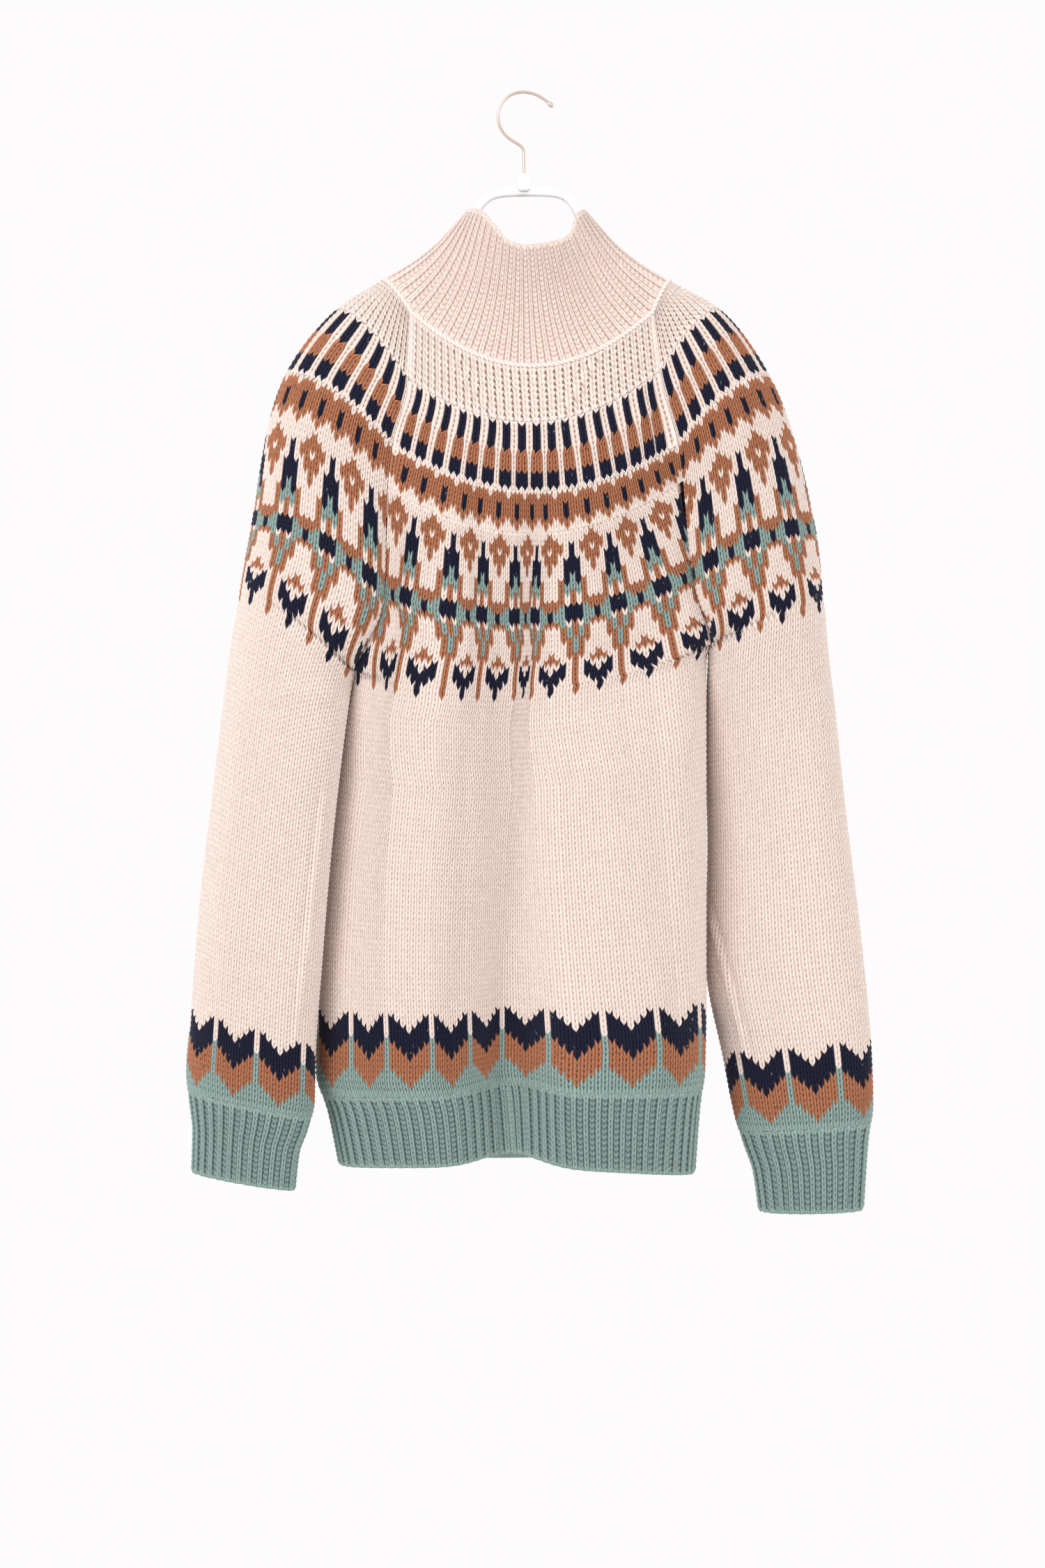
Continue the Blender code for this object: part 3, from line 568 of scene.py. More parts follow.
def knitted(name, grid, blocks, seed, wrap=False, inside=40):
    """A piece of knitting as one closed wall: blocks of stitches outside, a face inside that is ribbed in a
    closed round and else plain, with so many columns, and strips along its edges."""
    on, last_row = surface(grid, wrap), blocks[-1]["bottom"]
    work = {key: [] for key in ("points", "uv", "painted_shade", "dye", "faces", "face_dye")}
    count = 0

    def add(made, sink):
        """Adds a block of points, sink mm further in than its depths say, and gives their numbers."""
        nonlocal count
        points, normals = on(made["v"], made["u"])
        shape = points.shape[:-1]
        work["points"].append((points + normals * (made["depth"] - sink)[..., None]).reshape(-1, 3))
        for key in ("uv", "painted_shade", "dye"):
            wanted = shape + (2,) if key == "uv" else shape
            work[key].append(np.broadcast_to(made[key], wanted).reshape((-1, 2) if key == "uv" else -1))
        ids = count + np.arange(points[..., 0].size).reshape(shape)
        count += ids.size
        return ids

    def cover(triangles, dye):
        """Adds triangles of these dyes."""
        work["faces"].append(triangles.reshape(-1, 3))
        work["face_dye"].append(np.broadcast_to(dye, triangles.shape[:-1]).reshape(-1))

    def bind(edge, corner, back=False):
        """Covers a strip, dyed as the points at one corner of its triangles."""
        cover(edge[:, ::-1] if back else edge, np.concatenate(work["dye"])[edge[:, corner]])

    chains, ends = ([], []), []
    for block in blocks:
        made = stitches(grid, block, last_row, wrap)
        ids = add(made, 0)
        cover(halves(ids), made["dye"][:-1, :-1, None])
        if ends:
            bind(strip(ends[-1][0], ids[0], ends[-1][1], made["u"][0]), 1)
        else:
            first = ids[0], made["u"][0]
        ends.append((ids[-1], made["u"][-1]))
        for chain, edge in zip(chains, (0, -1)):
            chain.append((ids[:, edge], made["v"][:, edge]))
    if wrap:
        made = stitches(grid, blocks[0], last_row, wrap, True)
        made["depth"] = -made["depth"]
        v, u = made["v"], made["u"]
    else:
        v = np.linspace(0, last_row, last_row // 2 * 2 + 1)[:, None] + np.zeros(inside + 1)
        length = np.linalg.norm(np.diff(grid, axis=1), axis=2).sum(1)
        length = np.interp(v[:, :1], np.arange(len(grid)) / 2, length)
        u = GAP / length + np.linspace(0, 1, inside + 1) * (1 - 2 * GAP / length)
        dye = np.zeros(v.shape, int)
        for block in blocks:
            rows = (v[:, 0] >= block["top"]) & (v[:, 0] <= block["bottom"])
            column = np.clip((u[rows] * block["columns"]).astype(int), 0, block["columns"] - 1)
            dye[rows] = block["dyes"](np.minimum(v[rows].astype(int), block["bottom"] - 1), column)
        uv = np.stack([u * 72, v], -1)  # even stitches, 72 a row
        # The inside face gets a little painted shade all over.
        made = {"v": v, "u": u, "depth": 0 * v, "painted_shade": 0.1, "dye": dye, "uv": uv}
    ids = add(made, WALL)
    cover(halves(ids)[..., ::-1], made["dye"][:-1, :-1, None])
    for outer, inner, back in ((first, 0, True), (ends[-1], -1, False)):
        bind(strip(outer[0], ids[inner], outer[1], u[inner]), 0, back)
    if not wrap:
        for chain, inner, back in ((chains[0], 0, False), (chains[1], -1, True)):
            line, rows = (np.concatenate(each) for each in zip(*chain))
            bind(strip(line, ids[:, inner], rows, v[:, inner]), 0, back)
    return woven(name, {key: np.concatenate(value) for key, value in work.items()}, seed)


def piece(name, mesh, look):
    """A visible piece, which rides on the one body."""
    mesh.materials.append(look)
    made = linked(name, mesh)
    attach(made, "root")
    return made


def painted(mesh, colours, painted_shades):
    """Gives a mesh its dye face by face and its painted shade point by point."""
    layer = mesh.attributes.new("dye", "FLOAT_COLOR", "FACE")
    layer.data.foreach_set("color", np.insert(colours, 3, 1, axis=1).astype(np.float32).ravel())
    layer = mesh.attributes.new("painted_shade", "FLOAT", "POINT")
    layer.data.foreach_set("value", painted_shades.astype(np.float32).ravel())


def woven(name, work, seed):
    """The mesh of a piece: points that coincide are welded, empty triangles dropped, and each face dyed, a
    little lighter or darker from stitch to stitch and now and then flecked with another yarn."""
    points, faces = work["points"] + [0, 0, LIFT], work["faces"]
    _, one, same = np.unique(np.round(points * 2e4).astype(np.int64), axis=0, return_index=True, return_inverse=True)
    same = same.reshape(-1)
    welded = same[faces]
    kept = (welded[:, 0] != welded[:, 1]) & (welded[:, 1] != welded[:, 2]) & (welded[:, 0] != welded[:, 2])
    faces, welded, dye = faces[kept], welded[kept], work["face_dye"][kept]
    random = np.random.default_rng(seed)
    stitch = np.floor(work["uv"][faces[:, 0]]).astype(int)
    tone = random.normal(1, 0.012, 4096)[(stitch[:, 0] * 61 + stitch[:, 1] * 17) % 4096]
    colour = PALETTE[dye] * tone[:, None]
    fleck = random.random(len(faces)) < FLECKS[dye]
    colour = np.where(fleck[:, None], 0.55 * colour + 0.45 * PALETTE[FLECK_DYES[dye]], colour)
    used, compact = np.unique(welded, return_inverse=True)
    compact = compact.reshape(-1)
    mesh = bpy.data.meshes.new(name)
    mesh.vertices.add(len(used))
    mesh.vertices.foreach_set("co", (points[one[used]] * 0.001).astype(np.float32).ravel())
    mesh.loops.add(len(compact))
    mesh.loops.foreach_set("vertex_index", compact.astype(np.int32))
    mesh.polygons.add(len(welded))
    mesh.polygons.foreach_set("loop_start", np.arange(0, len(compact), 3, dtype=np.int32))
    mesh.polygons.foreach_set("use_smooth", np.ones(len(welded), bool))
    mesh.update()
    uv = mesh.uv_layers.new(name="stitches")
    uv.data.foreach_set("uv", work["uv"][faces.ravel()].astype(np.float32).ravel())
    painted(mesh, colour, work["painted_shade"][one[used]])
    return piece(name, mesh, WOOL)


BAND_ROW, RIB_ROW, LAST_ROW = 122, 136, 150  # where a body panel's band and rib start, and its last row


def body_grid(tab, side):
    """The form of a body panel, two rows of points to each row of stitches."""
    v = np.arange(2 * LAST_ROW + 1) / 2
    return evened(body_rows(tab, np.interp(v, (0, 62, 139, LAST_ROW), (0, UNDERARM, 607, 657)), side))


def oatmeal(row, column):
    return 0 * (row + column)


def bars_and_blocks(row, column):
    """In the repeat of three: navy bars, then blocks of brown and navy over an oatmeal row."""
    dye = np.select([row < 12, row < 17, row < 21, row < 24], [0, 1, 2, 1], 0)
    return np.where(column % 3 > 0, dye, 0)


def dashes(row, column):
    return yoke_dyes(row, column, 2)


def yoke_and_band(first):
    """The dyes of the yoke's lower part, the plain cloth and the band that starts in row first."""
    return lambda row, column: np.where(row < first, yoke_dyes(row, column, 4), band_dyes(row, column, first))


def sage(row, column):
    return 3 + 0 * (row + column)


# A block of plain jersey: extra columns before its first, the height of its stitches in rows, whether it is
# knitted openly, how much painted shade its dents get and the share of that in oatmeal, and how deep a rib's valley
# is, in mm.
PLAIN = {"extra": 0, "tall": 1, "open": False, "dent_shade": 0.85, "pale": 0.7, "valley": 1.7}
NECK = {"open": True, "tall": 11 / 9, "dent_shade": 0.55}
STRANDED = {"pale": 1.0}


def blocks_of(last_row, rib, *kinds):
    """The blocks of a panel or sleeve, ribbed from row rib, from kinds: (top row, columns, dyes, places, more)."""
    made = []
    for k, (top, columns, dyes, places, more) in enumerate(kinds):
        bottom = kinds[k + 1][0] if k + 1 < len(kinds) else last_row
        made.append({"top": top, "bottom": bottom, "columns": columns, "dyes": dyes, "places": places})
        made[-1].update({"rib": top >= rib, **PLAIN, **more})
    return made


# Where the front's columns lie, as shares of a row: drawn together in the folds, cut off by the raglan lines.
BARS = groups(
    (0, 0.0147, 0, (np.arange(17) * 2 + 1.5) / 34),
    (12, 0.0135, 0, (.053, .113, .178, .239, .292, .349, .398, .452, .503, .554, .603, .662, .719,
     .772, .838, .902, .951)),
    (16.6, 0.0137, 0, (.044, .104, .168, .23, .286, .342, .397, .451, .502, .554, .609, .668, .727,
     .781, .842, .903, .948)),
    (17.2, 0.0185, 1, (.043, .103, .168, .23, .286, .342, .397, .451, .502, .554, .609, .668, .727,
     .781, .842, .9, .945)),
    (24, 0.0205, 1, (.047, .106, .168, .23, .287, .343, .401, .455, .503, .556, .615, .674, .733,
     .786, .839, .889, .934)),
)
middles = np.array([.059, .13, .202, .272, .322, .382, .44, .487, .527, .593, .661, .725, .787, .847, .909, .964])
spread = 0.012 * (1 - 2 * middles)  # how far the dashes' tops lean in to the front's middle, and their feet out
DASHED = placed(
    (0, *(np.arange(16) * 4 + 2.5), 65),
    (24, 0, *(middles + spread), 1),
    (32, 0, *(middles - spread), 1),
)
FANNED = placed(
    np.arange(-8, 77, 4) + 0.5,
    (32, -.191, -.133, -.074, -.015, .044, .111, .173, .244, .296, .335, .388, .435, .475, .502, .537, .605, .668,
     .721, .778, .829, .891, .963),
    (48.5, -.199, -.141, -.084, -.027, .031, .067, .135, .215, .276, .314, .364, .421, .45, .471, .522, .598, .67,
     .738, .811, .89, .971, 1.028),
    (62, -.079, -.026, .028, .081, .117, .14, .196, .263, .311, .35, .393, .445, .465, .483, .533, .598, .658,
     .719, .793, .873, .944, .998),
    (80, -.031, .031, .092, .153, .184, .213, .266, .316, .357, .4, .442, .482, .506, .534, .597, .652, .705,
     .758, .817, .883, .945, 1.006),
    (128, -.005, .049, .104, .159, .198, .235, .281, .325, .361, .405, .447, .485, .533, .597, .663, .717, .77,
     .825, .871, .936, .991, 1.046),
)
# Creases: x and z at both ends, width, height over the form (troughs negative) and the side they are on.
FRONT_CREASES = (
    (-61, -216, -24, -284, 3, 2.2, -1),
    (-56, -216, -19, -284, 3, -1.2, -1),
    (68, -216, 31, -279, 3, 2.2, -1),
    (63, -216, 26, -279, 3, -1.2, -1),
    (8, -330, 6, -510, 7, -2.2, -1),
    (-36, -350, -40, -520, 8, -1.8, -1),
    (-62, -500, -70, -800, 12, 1.6, -1),
    (-44, -505, -54, -800, 9, -1.8, -1),
    (-100, -520, -112, -760, 13, -1.5, -1),
    (38, -505, 45, -800, 10, -1.6, -1),
    (70, -480, 80, -720, 13, 1.5, -1),
    (108, -470, 116, -700, 12, -1.4, -1),
)
front = knitted(
    "jumper_front",
    creased(body_grid(FRONT, -1), FRONT_CREASES),
    blocks_of(
        LAST_ROW,
        RIB_ROW,
        (0, 33, oatmeal, None, NECK),
        (11, 52, bars_and_blocks, BARS, STRANDED),
        (24, 65, dashes, DASHED, {}),
        (32, 77, yoke_and_band(BAND_ROW), FANNED, {"extra": 8}),
        (RIB_ROW, 80, sage, None, {}),
    ),
    seed=2,
)
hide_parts("front")

# The back: the same panel, a little shallower, with its fold to one side.
BACK = table(
    "s zc crest round fold_x fold wide",
    (0, -224, 52, 0, 0, 0, 30),
    (53, -279, 53, 0, 0, 0, 30),
    (107, -334, 53, 0, 0, 0, 30),
    (145, -372, 53, 0, 0, 1, 28),
    (200, -427, 54, 0, 14, 3, 30),
    (225, -452, 54, 0.1, 16, 5, 30),
    (270, -496, 55, 0.45, 18, 9, 30),
    (300, -526, 55, 0.75, 20, 11, 30),
    (350, -577, 56, 1, 22, 13, 32),
    (430, -659, 58, 1, 24, 17, 34),
    (520, -751, 60, 1, 26, 21, 36),
    (580, -813, 61, 1, 26, 23, 36),
    (607, -842, 59, 1, 26, 23, 36),
    (657, -893, 54, 1, 26, 20, 36),
)
BACK_CREASES = (
    (-50, -260, -58, -520, 9, -1.8, 1),
    (60, -300, 52, -560, 10, -1.6, 1),
    (-90, -520, -104, -780, 13, 1.6, 1),
    (-40, -520, -46, -800, 11, -1.6, 1),
    (88, -500, 98, -760, 13, -1.6, 1),
)
bars, squares = (np.arange(16) * 2 + 1.5) / 33, (np.arange(16) * 3 + 2) / 49
EVEN_BARS = groups(
    (0, 0.0152, 0, bars), (16.6, 0.0152, 0, bars), (17.2, 0.0205, 1, squares), (24, 0.0205, 1, squares)
)
back = knitted(
    "jumper_back",
    creased(body_grid(BACK, 1)[:, ::-1], BACK_CREASES),
    blocks_of(
        LAST_ROW,
        RIB_ROW,
        (0, 33, oatmeal, None, NECK),
        (11, 49, bars_and_blocks, EVEN_BARS, STRANDED),
        (24, 65, dashes, None, {}),
        (32, 73, yoke_and_band(BAND_ROW), None, {}),
        (RIB_ROW, 76, sage, None, {}),
    ),
    seed=3,
)
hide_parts("back")

# The sleeves: set into the raglan lines, open tubes below the underarm, gathered a little at the wrist by a
# patterned band and a ribbed cuff. The left one hangs in front of the body, the right one beside it.
LEFT_SLEEVE = table(
    "s xk yk zk xi yi zi front back sag",
    (0, -118, 0, -157, -93, 0, -188, 25, 22, 1.3),
    (53, -159, 0, -184, -95, 0, -248, 34, 31, 1.5),
    (107, -199, 0, -237, -108, 0, -300, 42, 36, 1.7),
    (145, -213, 0, -280, -112, 0, -338, 47, 37, 1.7),
    (200, -224, 0, -346, -114, 0, -405, 53, 33, 1.7),
    (225, -228, -1, -370, -117, 0, -433, 56, 29, 1.6),
    (270, -236, -3, -415, -138, -24, -485, 58, 18, 1.4),
    (277, -237, -3, -424, -141.5, -27, -492, 58, 16, 1.35),
    (300, -241, -4, -447, -144.5, -37, -513, 58, 9, 1.3),
    (350, -248, -6, -499, -150, -46, -559, 59, 4, 1.2),
    (430, -258, -8, -583, -158, -49, -633, 60, 2, 1.1),
    (520, -269, -8, -678, -165, -48, -716, 60, 3, 1),
    (610, -276.5, -7, -772, -171, -44, -799, 58, 5, 1),
    (650, -280, -6, -814, -172, -41, -836, 55, 6, 1),
    (676, -277, -5, -844, -178, -39, -860, 49, 5, 1),
    (695, -275, -5, -862, -184.5, -38, -878, 45, 3, 1),
    (730, -276, -5, -898, -188, -37, -909, 43, 2, 1),
)
RIGHT_SLEEVE = table(
    "s xk yk zk xi yi zi front back sag",
    (0, 122, 0, -158, 106, 0, -188, 25, 22, 1.3),
    (53, 166, 0, -184, 112, 0, -242, 34, 31, 1.5),
    (107, 205, 0, -238, 127, 0, -299, 40, 36, 1.7),
    (145, 222, 0, -280, 131, 0, -332, 43, 38, 1.7),
    (200, 240, 0, -352, 137, 0, -391, 43, 38, 1.7),
    (225, 244.5, -1, -378, 142, 0, -417, 42, 37, 1.6),
    (270, 249, -2, -426, 152.6, -4, -462, 38, 33, 1.4),
    (277, 250, -2, -433, 153.3, -3, -469, 37, 32, 1.35),
    (300, 252, -3, -459, 152.8, 4, -493, 34, 32, 1.3),
    (350, 258, -5, -513, 152, 13, -544, 29, 34, 1.2),
    (430, 267, -8, -601, 154, 18, -626, 28, 36, 1.1),
    (520, 279, -9, -700, 152, 19, -718, 29, 37, 1),
    (610, 288, -8, -798, 168, 14, -810, 30, 35, 1),
    (650, 289.5, -7, -841, 176, 12, -851, 29, 33, 1),
    (676, 286, -6, -870, 184, 10, -877, 26, 29, 1),
    (695, 284.5, -5, -890, 191, 9, -897, 24, 27, 1),
    (730, 282, -5, -929, 196, 8, -932, 23, 25, 1),
)


def sleeve_rows(tab, seam, s):
    """Rows of a sleeve, from its front seam over the crown line to its back seam: in the yoke a quarter of an
    ellipse on each side, below it a straight line between crown and inner line, swollen by a half ellipse."""
    g = {name: at(tab, name, s)[:, None] for name in tab}
    crown, inner = (np.stack([g[k] for k in names], -1) for names in (("xk", "yk", "zk"), ("xi", "yi", "zi")))
    closed = np.clip((s - 107) / (UNDERARM - 107), 0, 1)[:, None] ** 2
    halves = []
    for side, out in ((-1, "front"), (1, "back")):
        raglan = seam_line(seam, s, side < 0)[:, None]
        end = np.where((s < UNDERARM)[:, None, None], raglan, inner)
        line = crown + (end - crown) * FINE[:, None]
        line[..., 2] = crown[..., 2] + (end[..., 2] - crown[..., 2]) * FINE ** g["sag"]
        depth = closed * FINE + (1 - closed) * np.sqrt(1 - (1 - FINE) ** 2)
        middle = closed * 0.5 + (1 - closed) * np.sqrt(0.75)
        swell = g[out] - side * (crown[..., 1] + (end[..., 1] - crown[..., 1]) * middle)
        line[..., 1] = crown[..., 1] + (end[..., 1] - crown[..., 1]) * depth
        line[..., 1] += side * swell * np.sqrt(1 - (2 * FINE - 1) ** 2)
        near = np.exp(-(((FINE - 1) * (end[..., 0] - crown[..., 0]) / ARMPIT) ** 2))
        line[..., 1] += armpit(seam, s, side < 0)[:, None] * near
        halves.append(line)
    return np.concatenate([halves[0][:, ::-1], halves[1][:, 1:]], axis=1)


SLEEVE_BAND, SLEEVE_RIB, SLEEVE_LAST = 138, 152, 167  # the same rows in a sleeve


def sleeve_grid(tab, seam):
    """The form of a sleeve, two rows of points to each row of stitches."""
    v = np.arange(2 * SLEEVE_LAST + 1) / 2
    return evened(sleeve_rows(tab, seam, np.interp(v, (0, 62, 155, SLEEVE_LAST), (0, UNDERARM, 676, 730))))


middles = (np.arange(14) + 0.5) / 14
SLEEVE_BARS = groups(
    (0, 1 / 56, 0, middles), (16.6, 1 / 56, 0, middles), (17.2, 1 / 42, 1, middles), (24, 1 / 42, 1, middles)
)
SLEEVE_CREASES = {
    "sleeve_left": (
        (-150, -478, -196, -440, 9, -2.2, -1),
        (-152, -505, -205, -500, 8, 1.8, -1),
        (-158, -560, -210, -700, 13, -1.8, -1),
        (-235, -520, -248, -760, 14, 1.6, -1),
        (-180, -700, -200, -840, 10, 1.4, -1),
        (-160, -575, -186, -792, 2.2, 1.7, -1),
        (-165, -575, -191, -792, 2.0, -1.6, -1),
        (-160, -480, -215, -420, 10, -1.8, 1),
        (-205, -560, -222, -800, 13, -1.6, 1),
    ),
    "sleeve_right": (
        (158, -450, 205, -410, 9, -2.0, -1),
        (166, -500, 196, -640, 12, -1.8, -1),
        (236, -500, 250, -740, 13, 1.6, -1),
        (190, -700, 214, -860, 11, -1.5, -1),
        (151, -670, 186, -812, 2.2, 1.7, -1),
        (156, -670, 191, -812, 2.0, -1.6, -1),
        (165, -460, 215, -400, 10, -1.8, 1),
        (205, -560, 225, -800, 13, 1.6, 1),
    ),
}
for name, tab, seam, flat, area, seed in (
    ("sleeve_left", LEFT_SLEEVE, LEFT_SEAM, (0.313, 0.762), 0.197, 4),
    ("sleeve_right", RIGHT_SLEEVE, RIGHT_SEAM, (0.314, 0.789), 0.2026, 5),
):
    grid = sleeve_grid(tab, seam)
    grid = creased(grid[:, ::-1] if name == "sleeve_left" else grid, SLEEVE_CREASES[name])
    blocks = blocks_of(
        SLEEVE_LAST,
        SLEEVE_RIB,
        (0, 28, oatmeal, None, NECK),
        (11, 43, bars_and_blocks, SLEEVE_BARS, STRANDED),
        (24, 56, yoke_and_band(SLEEVE_BAND), None, {}),
        (SLEEVE_RIB, 48, sage, None, {}),
    )
    sleeve = knitted("jumper_" + name, grid, blocks, seed, inside=32)
    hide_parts(name)

# The collar: a funnel in knit one, purl one rib, picked up round the neck and cast off loosely at its rim.
RIM = table(
    "s z",
    (0, -97), (20, -99), (38, -103), (58, -118), (72, -130.5), (90, -134.5), (105, -133), (122, -129.5),
    (138, -123), (149, -107), (160, -101), (180, -97), (200, -105), (225, -121), (270, -129), (315, -121),
    (340, -103), (360, -97),
)


COLLAR_ROWS, RIB_PAIRS = 24, 56  # rows of stitches, and pairs of a knitted and a purled column


def collar_grid():
    """From the rim down to the neck seam: straight lines from the seam to an ellipse at the rim, drawn in a
    little on the way by a sine. The columns start at the front's left corner."""
    tops = [
        body_rows(FRONT, np.array([0.0]), -1),
        sleeve_rows(RIGHT_SLEEVE, RIGHT_SEAM, np.array([0.0])),
        body_rows(BACK, np.array([0.0]), 1)[:, ::-1],
        sleeve_rows(LEFT_SLEEVE, LEFT_SEAM, np.array([0.0]))[:, ::-1],
    ]
    seam = np.concatenate([evened(top, 2 * n)[0, :-1] for top, n in zip(tops, (40, 16, 40, 16))])
    angle = 2 * np.pi * (np.arange(len(seam)) / 2 + 8) / (2 * RIB_PAIRS)
    rim = np.stack([2 - 48 * np.cos(angle), -50 * np.sin(angle), at(RIM, "z", np.degrees(angle) % 360)], 1)
    t = np.linspace(1, 0.006, 2 * COLLAR_ROWS + 1)[:, None, None]
    grid = seam + (rim - seam) * t
    grid[..., :2] -= (grid[..., :2] - [2, 0]) * 0.10 * np.sin(np.pi * t)
    return np.concatenate([grid, grid[:, :1]], axis=1)


# Seen from outside, a knitted column has 0.44 of its pair's breadth and a purled one 0.56.
edges = np.append(0, np.tile([0.44, 0.56], RIB_PAIRS).cumsum() / RIB_PAIRS)
RIBS = placed(range(2 * RIB_PAIRS + 1), (0, *edges), (COLLAR_ROWS, *edges))
RIBBED = {"valley": 1.0, "dent_shade": 1.4, "pale": 0.5}
collar_form = collar_grid()
blocks = blocks_of(COLLAR_ROWS, 0, (0, 2 * RIB_PAIRS, oatmeal, RIBS, RIBBED))
collar = knitted("jumper_collar", collar_form, blocks, seed=6, wrap=True)
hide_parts("collar")


# The pick-up line: the edge of the neck stands up round the foot of the collar as a cord of two plies, 3.5 mm
# thick, one turn in 9 mm.
def rod(name, rings, look, looped=False):
    """Closed round bars: each is an array of rings of points, whose turn is right-handed about their way on."""
    points, faces, count = [], [], 0
    for each in rings:
        ids = count + np.arange(each[..., 0].size).reshape(each.shape[:2])
        after = np.roll(ids, -1, 1)
        a, b = (ids, np.roll(ids, -1, 0)) if looped else (ids[:-1], ids[1:])
        c, d = (after, np.roll(after, -1, 0)) if looped else (after[:-1], after[1:])
        faces += np.stack([a, c, d, b], -1).reshape(-1, 4).tolist()
        faces += [] if looped else [ids[0, ::-1].tolist(), ids[-1].tolist()]
        points.append(each.reshape(-1, 3))
        count += ids.size
    mesh = bpy.data.meshes.new(name)
    mesh.from_pydata(((np.concatenate(points) + [0, 0, LIFT]) * 0.001).tolist(), [], faces)
    mesh.polygons.foreach_set("use_smooth", np.ones(len(faces), bool))
    return piece(name, mesh, look)


def turned(line, side, up, radius, sides):
    """Rings round a line: side * cos + up * sin of the turn, times the radius, for side x up along the line."""
    turn = np.linspace(0, 2 * np.pi, sides, endpoint=False)
    rim = side[:, None] * np.cos(turn)[:, None] + up[:, None] * np.sin(turn)[:, None]
    return line[:, None] + rim * (radius if np.ndim(radius) == 3 else np.reshape(radius, (-1, 1, 1)))


STEPS, TURNS, SIDES = 900, 75, 12  # rings along the cord, turns of its plies, points round a ring
RADIUS, SWELL, OFF = 1.6, 0.11, 0.4  # mm of its mean radius, the share its plies add, mm it stands off the seam
points = np.arange(collar_form.shape[1])
steps = np.linspace(0, points[-1], STEPS, endpoint=False)
foot, out = (
    np.stack([np.interp(steps, points, each) for each in row.T], 1)
    for row in (collar_form[-1], facing(collar_form, True)[-1])
)
way = np.roll(foot, -1, 0) - np.roll(foot, 1, 0)
way /= np.linalg.norm(way, axis=1, keepdims=True)
out -= way * (out * way).sum(1, keepdims=True)
out /= np.linalg.norm(out, axis=1, keepdims=True)
turn = np.linspace(0, 2 * np.pi, SIDES, endpoint=False)
ply = np.cos(2 * turn - 2 * np.pi * np.arange(STEPS)[:, None] * TURNS * 2 / STEPS)
rings = turned(foot + out * OFF, out, np.cross(way, out), (RADIUS * (1 + SWELL * ply))[..., None], SIDES)
cord = rod("neck_cord", [rings], wool("cord_wool", grooves=0.0), looped=True)
# The cord's colour is oatmeal, with painted shade where its plies dip between each other.
painted(cord.data, np.tile(PALETTE[0], (len(cord.data.polygons), 1)), 0.5 * np.clip(-ply, 0, 1))

# The hanger: a white polystyrene moulding, a flat-topped arch in the neck and arms that thicken towards the
# shoulders, with a turned boss 10 mm wide that holds the hook's end in a blind hole.
ARMS = table(
    "x z size",
    (-170, -208, 1.25), (-163, -202, 1.5), (-146, -187, 1.5), (-121, -171, 1.4), (-97, -154, 1.3),
    (-74, -140, 1.2), (-56, -126, 1), (-45, -111, 1), (-38.5, -97, 1), (-29, -85.5, 1), (-12, -83.5, 1),
    (5, -83.5, 1), (20, -83.5, 1), (35, -85.5, 1), (43, -97, 1), (49, -111, 1), (60, -126, 1), (76, -141, 1.2),
    (97, -155, 1.3), (121, -172, 1.4), (148, -189, 1.5), (168, -204, 1.5), (176, -212, 1.25),
)
HOOK = table(
    "x z size",
    (0, -76.5, 1), (0, -70, 1), (0, -60, 1), (0, -49, 1), (-1.5, -45, 1), (-8, -41.5, 1), (-15.5, -36.5, 1),
    (-20.5, -29, 1), (-22, -20, 1), (-20, -11, 1), (-14, -3.5, 1), (-6, 0.2, 1), (2.5, 0.4, 1), (11, -2, 1),
    (17.5, -6.3, 1), (20.6, -8.9, 1), (21.2, -9.4, 1.6), (22.4, -10.6, 1.75), (23.3, -11.5, 1.5),
    (23.9, -12.1, 0.8), (24.2, -12.4, 0.1),
)


def spline(tab, n):
    """A clamped cubic B-spline of a table's rows, by de Boor's rule, at n + 1 even steps of its parameter."""
    rows = np.stack(list(tab.values()), 1)
    last = len(rows) - 3
    knots = np.concatenate([[0, 0, 0], np.arange(last + 1), [last] * 3])
    t = np.linspace(0, last, n + 1)
    k = np.minimum(t.astype(int), last - 1) + 3
    d = [rows[k - 3 + i] for i in range(4)]
    for r in (1, 2, 3):
        for i in range(3, r - 1, -1):
            low, high = knots[k - 3 + i], knots[k + 1 + i - r]
            a = ((t - low) / (high - low))[:, None]
            d[i] = d[i - 1] * (1 - a) + d[i] * a
    return d[3]


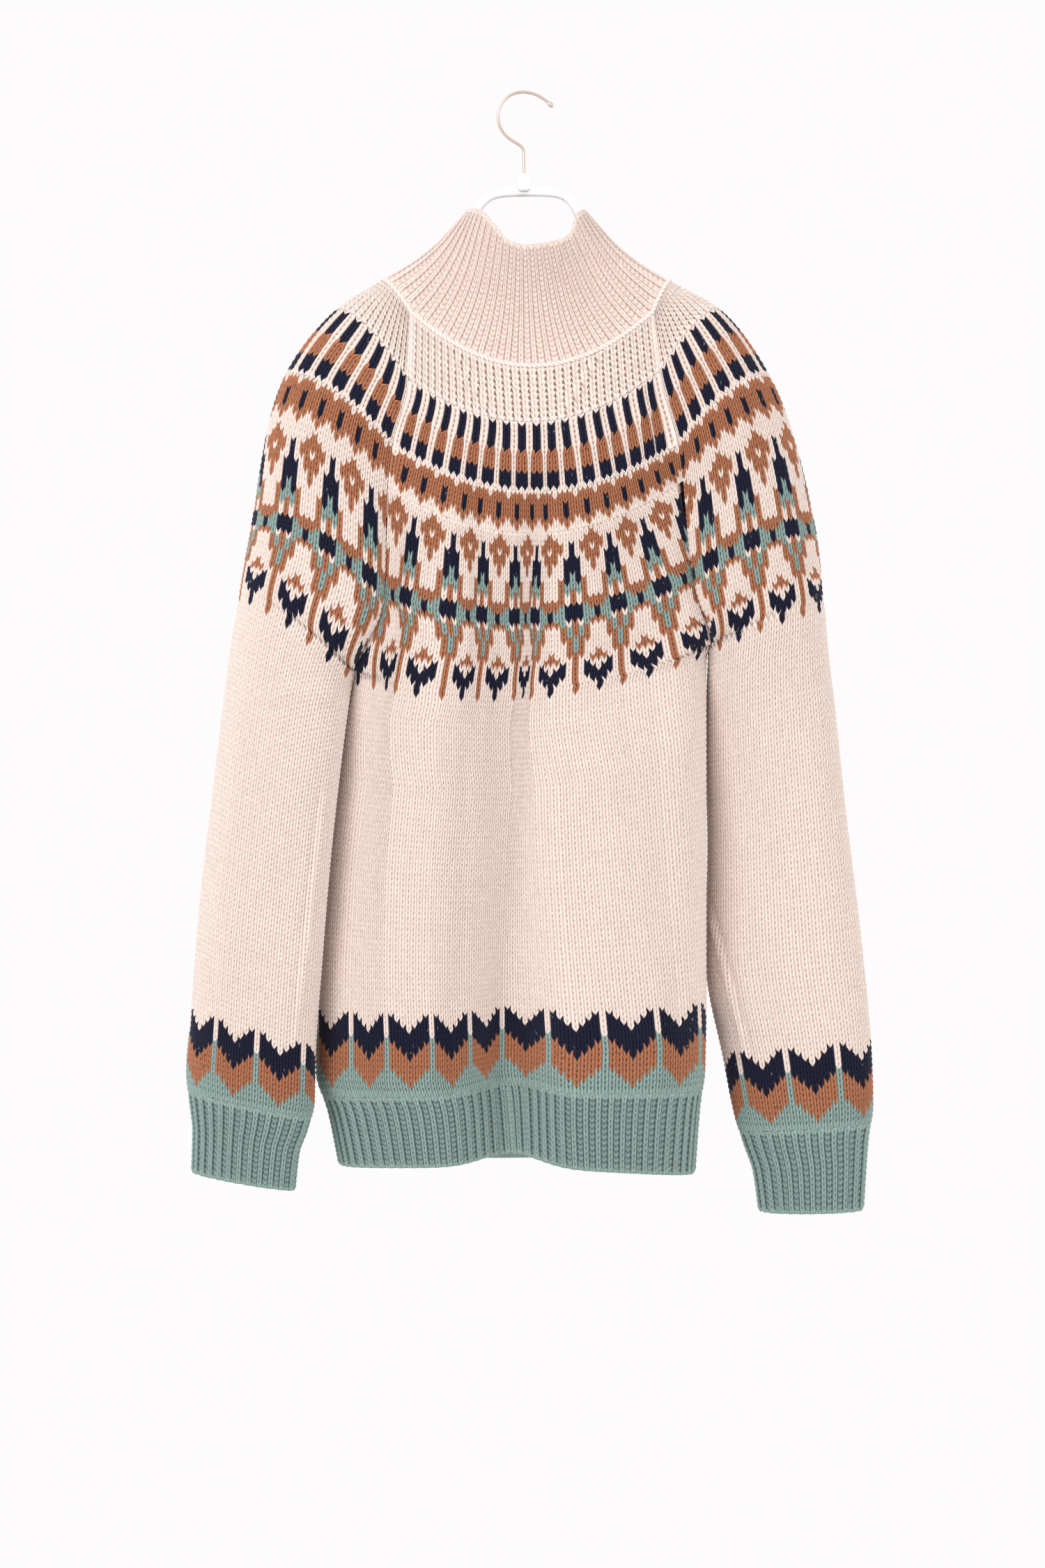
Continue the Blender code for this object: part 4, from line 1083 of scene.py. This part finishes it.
def bent(tab, radius, n, sides):
    """Rings round a bar bent in the plane y = 0, at n steps; a table's size is a factor of the radius."""
    path = spline(tab, n)
    line = np.stack([path[:, 0], 0 * path[:, 0], path[:, 1]], 1)
    way = np.gradient(line, axis=0)
    way /= np.linalg.norm(way, axis=1, keepdims=True)
    up = np.tile([0.0, 1, 0], (len(line), 1))
    return turned(line, np.cross(up, way), up, radius * path[:, 2], sides)


def smooth_look(name, colour, roughness, metallic, scale, strength):
    """A plain moulded or drawn surface with faint unevenness in its gloss."""
    look = plain_look(name, colour, roughness)
    tree = look.node_tree
    shader = tree.nodes["Principled BSDF"]
    shader.inputs["Metallic"].default_value = metallic
    place = tree.nodes.new("ShaderNodeTexCoord")
    marks = noise(tree, place.outputs["Object"], scale)
    tree.links.new(math(tree, "MULTIPLY_ADD", marks.outputs["Fac"], strength, roughness), shader.inputs["Roughness"])
    return look


boss = table(
    "z radius",
    (-83, 4.6), (-80.5, 5.6), (-79, 5.1), (-69, 5), (-68.2, 4.7), (-68, 4.2), (-68, 1.9), (-68.4, 1.6),
    (-76.9, 1.6), (-77, 0.02),
)
post = boss["z"][:, None] * [0, 0, 1]
across, deep = np.tile([1.0, 0, 0], (len(post), 1)), np.tile([0.0, 1, 0], (len(post), 1))
moulding = [bent(ARMS, 3.2, 200, 24), turned(post, across, deep, boss["radius"], 32)]
plastic = smooth_look("white_plastic", (0.96, 0.95, 0.945), 0.42, 0, 60, 0.1)
milky = plastic.node_tree.nodes["Principled BSDF"]
milky.inputs["Subsurface Weight"].default_value, milky.inputs["Subsurface Scale"].default_value = 0.7, 0.006
milky.inputs["Subsurface Radius"].default_value = (1, 1, 1)
hanger = rod("hanger", moulding, plastic)
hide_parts("hanger_frame")

# The hook: one rose-tinted nickel wire of 2.5 mm, bent to a loop of 40 mm and ending in a small ball.
rose = smooth_look("rose_wire", (0.62, 0.5, 0.45), 0.24, 1, 300, 0.12)
hook = rod("hook", [bent(HOOK, 1.25, 160, 20)], rose)
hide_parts("hanger_hook")
